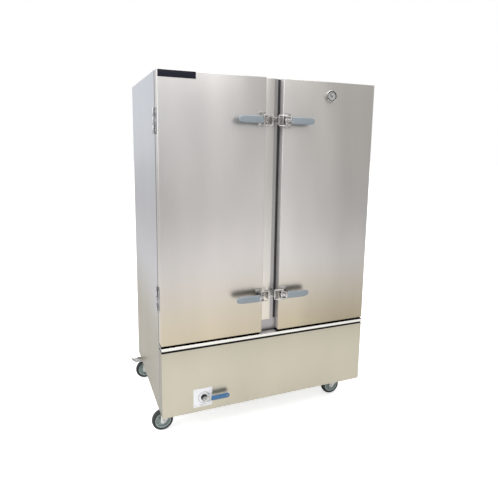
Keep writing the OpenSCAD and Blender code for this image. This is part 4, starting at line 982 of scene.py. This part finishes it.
zinc = moulded("zinc plate", (0.62, 0.62, 0.60), 0.32, scale=160, mottle=0.3, depth=0.06, metallic=1.0)
tyre_rubber = moulded("tyre rubber", (0.014, 0.017, 0.017), 0.62, scale=140, mottle=0.3, depth=0.2)
hub_plastic = moulded("hub plastic", (0.31, 0.37, 0.36), 0.45, scale=120, mottle=0.2, depth=0.1)
finish_node("fasteners", zinc)
WHEEL_R = 0.050
WHEEL_HALF_W = 0.016
HUB_R = 0.037
TREAD_ROUND = 0.006
TRAIL = 0.038
PLATE_T = 0.004
PLATE_HALF = (0.050, 0.042)
CROWN_Z = (-0.0202, -0.0145)
LEG_IN = 0.0185
LEG_T = 0.003
AXLE_DOWN = 0.075
AXLE_R = 0.0039
AXLE_NUT_R = 0.007
PEDAL_X, PEDAL_Z = -0.041, -0.017
PEDAL_HALF_W = 0.0163
PEDAL_END_X = -0.090
PAD_OUT = 0.004
PAD_HALF = 0.014
PAD_TILT = 38
CASTER_H = WHEEL_R + AXLE_DOWN
ALONG_Y = Matrix.Rotation(math.pi / 2, 3, "X")


def wheel_hub():
    """A moulded hub with a boss, a web and ribs on both faces, turned about y."""
    web = spun([(0.0042, -0.017), (0.0105, -0.017), (0.012, -0.0155), (0.0125, -0.0055), (0.0305, -0.0045),
                (0.0325, -0.0125), (HUB_R - 0.0005, -0.0135), (HUB_R - 0.0003, 0.0135), (0.0325, 0.0125),
                (0.0305, 0.0045), (0.0125, 0.0055), (0.012, 0.0155), (0.0105, 0.017), (0.0042, 0.017),
                (0.0042, -0.017)], steps=48)
    ribs = []
    for i in range(10):
        rib = soften(block((0.0115, -0.0011, -0.0115), (0.0335, 0.0011, 0.0115)), 0.0005, 1)
        ribs.append(placed(rib, turn=Matrix.Rotation(math.radians(36 * i), 3, "Z")))
    return placed(joined(web, *ribs), turn=ALONG_Y)


def tyre():
    """A solid tyre with a rounded tread, turned about y."""
    half = WHEEL_HALF_W - 0.001
    shoulder = WHEEL_R - TREAD_ROUND
    outline = [(HUB_R, -half + 0.001), (HUB_R + 0.001, -half), (shoulder, -half)]
    for i in range(9):
        angle = -math.pi / 2 + math.pi * i / 8
        reach = half * (0.98 if i in (0, 8) else 0.99)
        outline.append((shoulder + TREAD_ROUND * math.cos(angle), reach * math.sin(angle)))
    outline += [(shoulder, half), (HUB_R + 0.001, half), (HUB_R, half - 0.001), (HUB_R, -half + 0.001)]
    return placed(spun(outline, steps=72), turn=ALONG_Y)


def across_fork(radius, reach, x, z, cap=0.0, segments=32):
    """A rod along y through both legs, from one reach to the other."""
    return rod(radius, (x, reach[0], z), (x, reach[1], z), segments, cap)


def caster_fork(braked):
    """A pressed fork: a dished crown with two legs, the axle bolt and its nut."""
    low, top = CROWN_Z
    crown = spun([(0.0062, low + 0.0005), (0.024, low + 0.0005), (0.0295, low), (0.031, low + 0.0015),
                  (0.031, top - 0.0012), (0.0298, top), (0.0062, top), (0.0062, low + 0.0005)], steps=48)
    parts = [crown]
    for side in (-1, 1):
        leg = plate_round([(-0.040, -0.0215, 0.0065), (0.0145, -0.0215, 0.0065),
                           (-TRAIL, -AXLE_DOWN, 0.0125)], 0, LEG_T, edge=0.0008)
        leg = placed(leg, turn=ALONG_Y)
        parts.append(placed(leg, (0, side * LEG_IN + (LEG_T if side > 0 else 0), 0)))
    end_y = LEG_IN + LEG_T
    parts.append(across_fork(AXLE_R, (-end_y, end_y + 0.006), -TRAIL, -AXLE_DOWN, cap=0.0005))
    for reach in ((-end_y - 0.005, -end_y), (end_y, end_y + 0.0055)):
        nut = across_fork(AXLE_NUT_R, reach, -TRAIL, -AXLE_DOWN, segments=6)
        parts.append(soften(nut, 0.0006, 2))
    if braked:
        parts.append(across_fork(0.003, (-end_y, end_y), PEDAL_X, PEDAL_Z, cap=0.0005))
    return joined(*parts)


def caster_top():
    """The top plate with the swivel's raceway cup and its king pin."""
    half_x, half_y = PLATE_HALF
    plate = soften(block((-half_x, -half_y, -PLATE_T), (half_x, half_y, 0)), 0.0012, 3)
    cup = spun([(0, -PLATE_T), (0.022, -PLATE_T), (0.0285, -PLATE_T - 0.003), (0.0290, -0.0125),
                (0.0270, -0.0139), (0.006, -0.0139), (0.006, -0.0235), (0.0095, -0.0237),
                (0.0095, -0.026), (0, -0.026)], steps=48)
    return joined(plate, cup)


def brake_pedal():
    """A pressed pedal: a rolled boss, two side arms, a tread between them and a tilted toe pad."""
    half = PEDAL_HALF_W
    pad_half_w = half + PAD_OUT
    parts = [across_fork(0.0051, (-half, half), PEDAL_X, PEDAL_Z, cap=0.0006),
             soften(block((PEDAL_END_X, -half, -0.0180), (PEDAL_X, half, -0.0152)), 0.0008, 2)]
    for side in (-1, 1):
        arm = plate_round([(PEDAL_X, PEDAL_Z, 0.0062), (-0.072, -0.0145, 0.0085),
                           (PEDAL_END_X, -0.0165, 0.0042)], 0, 0.002)
        parts.append(placed(placed(arm, turn=ALONG_Y), (0, side * (half - 0.001) + 0.001, 0)))
    pad = soften(block((-PAD_HALF, -pad_half_w, -0.0014), (PAD_HALF, pad_half_w, 0.0014)), 0.0011, 3)
    for i in range(4):
        pad = joined(pad, across_fork(0.0011, (-half, half), -0.009 + i * 0.006, 0.0014, segments=12))
    parts.append(placed(pad, (-0.098, 0, -0.0115), Matrix.Rotation(math.radians(PAD_TILT), 3, "Y")))
    parts.append(across_fork(0.0026, (-pad_half_w, pad_half_w), -0.1085, -0.0035, 0.001, 20))
    return joined(*parts)


tops = []
for end in ("front", "rear"):
    for side in ("left", "right"):
        swivel = joint_at(f"{end}_{side}_swivel")
        at = Vector((swivel.x, swivel.y, CASTER_H))
        tops.append(placed(caster_top(), at))
        make_piece(f"{end}_{side}_caster_fork", placed(caster_fork(end == "rear"), at), zinc,
                   f"{end}_{side}_fork", [f"{end}_{side}_fork"])
        axle = at + Vector((-TRAIL, 0, -AXLE_DOWN))
        make_piece(f"{end}_{side}_tyre", placed(tyre(), axle), tyre_rubber, f"{end}_{side}_wheel",
                   [f"{end}_{side}_wheel"])
        make_piece(f"{end}_{side}_hub", placed(wheel_hub(), axle), hub_plastic, f"{end}_{side}_wheel",
                   [f"{end}_{side}_wheel"])
        if end == "rear":
            make_piece(f"{end}_{side}_brake_pedal", placed(brake_pedal(), at), zinc, f"{end}_{side}_pedal",
                       [f"{end}_{side}_pedal"])
make_piece("caster_tops", joined(*tops), zinc, "cabinet", ["caster_plates"])

# ---- Inside ----
# The chamber is lined with dull stainless sheet. Angle rails on flat posts hold the trays
# over a water tank with three hairpin heaters, a float valve and the drain.

heater_tube = moulded("heater tube", (0.22, 0.22, 0.21), 0.45, scale=120, mottle=0.5, depth=0.1,
                      metallic=1.0)
float_plastic = moulded("float plastic", (0.70, 0.26, 0.05), 0.4, scale=80, mottle=0.1, depth=0.05)
box_paint = moulded("box paint", (0.30, 0.31, 0.32), 0.45, scale=120, mottle=0.1, depth=0.2)
for node in ("chamber_liner", "tray_racks", "water_tank", "chassis", "steam_vent"):
    finish_node(node, inner_steel)
finish_node("heating_elements", heater_tube)
finish_node("float_valve", valve_brass)
finish_node("float_arm", float_plastic)
finish_node("terminal_box", box_paint)
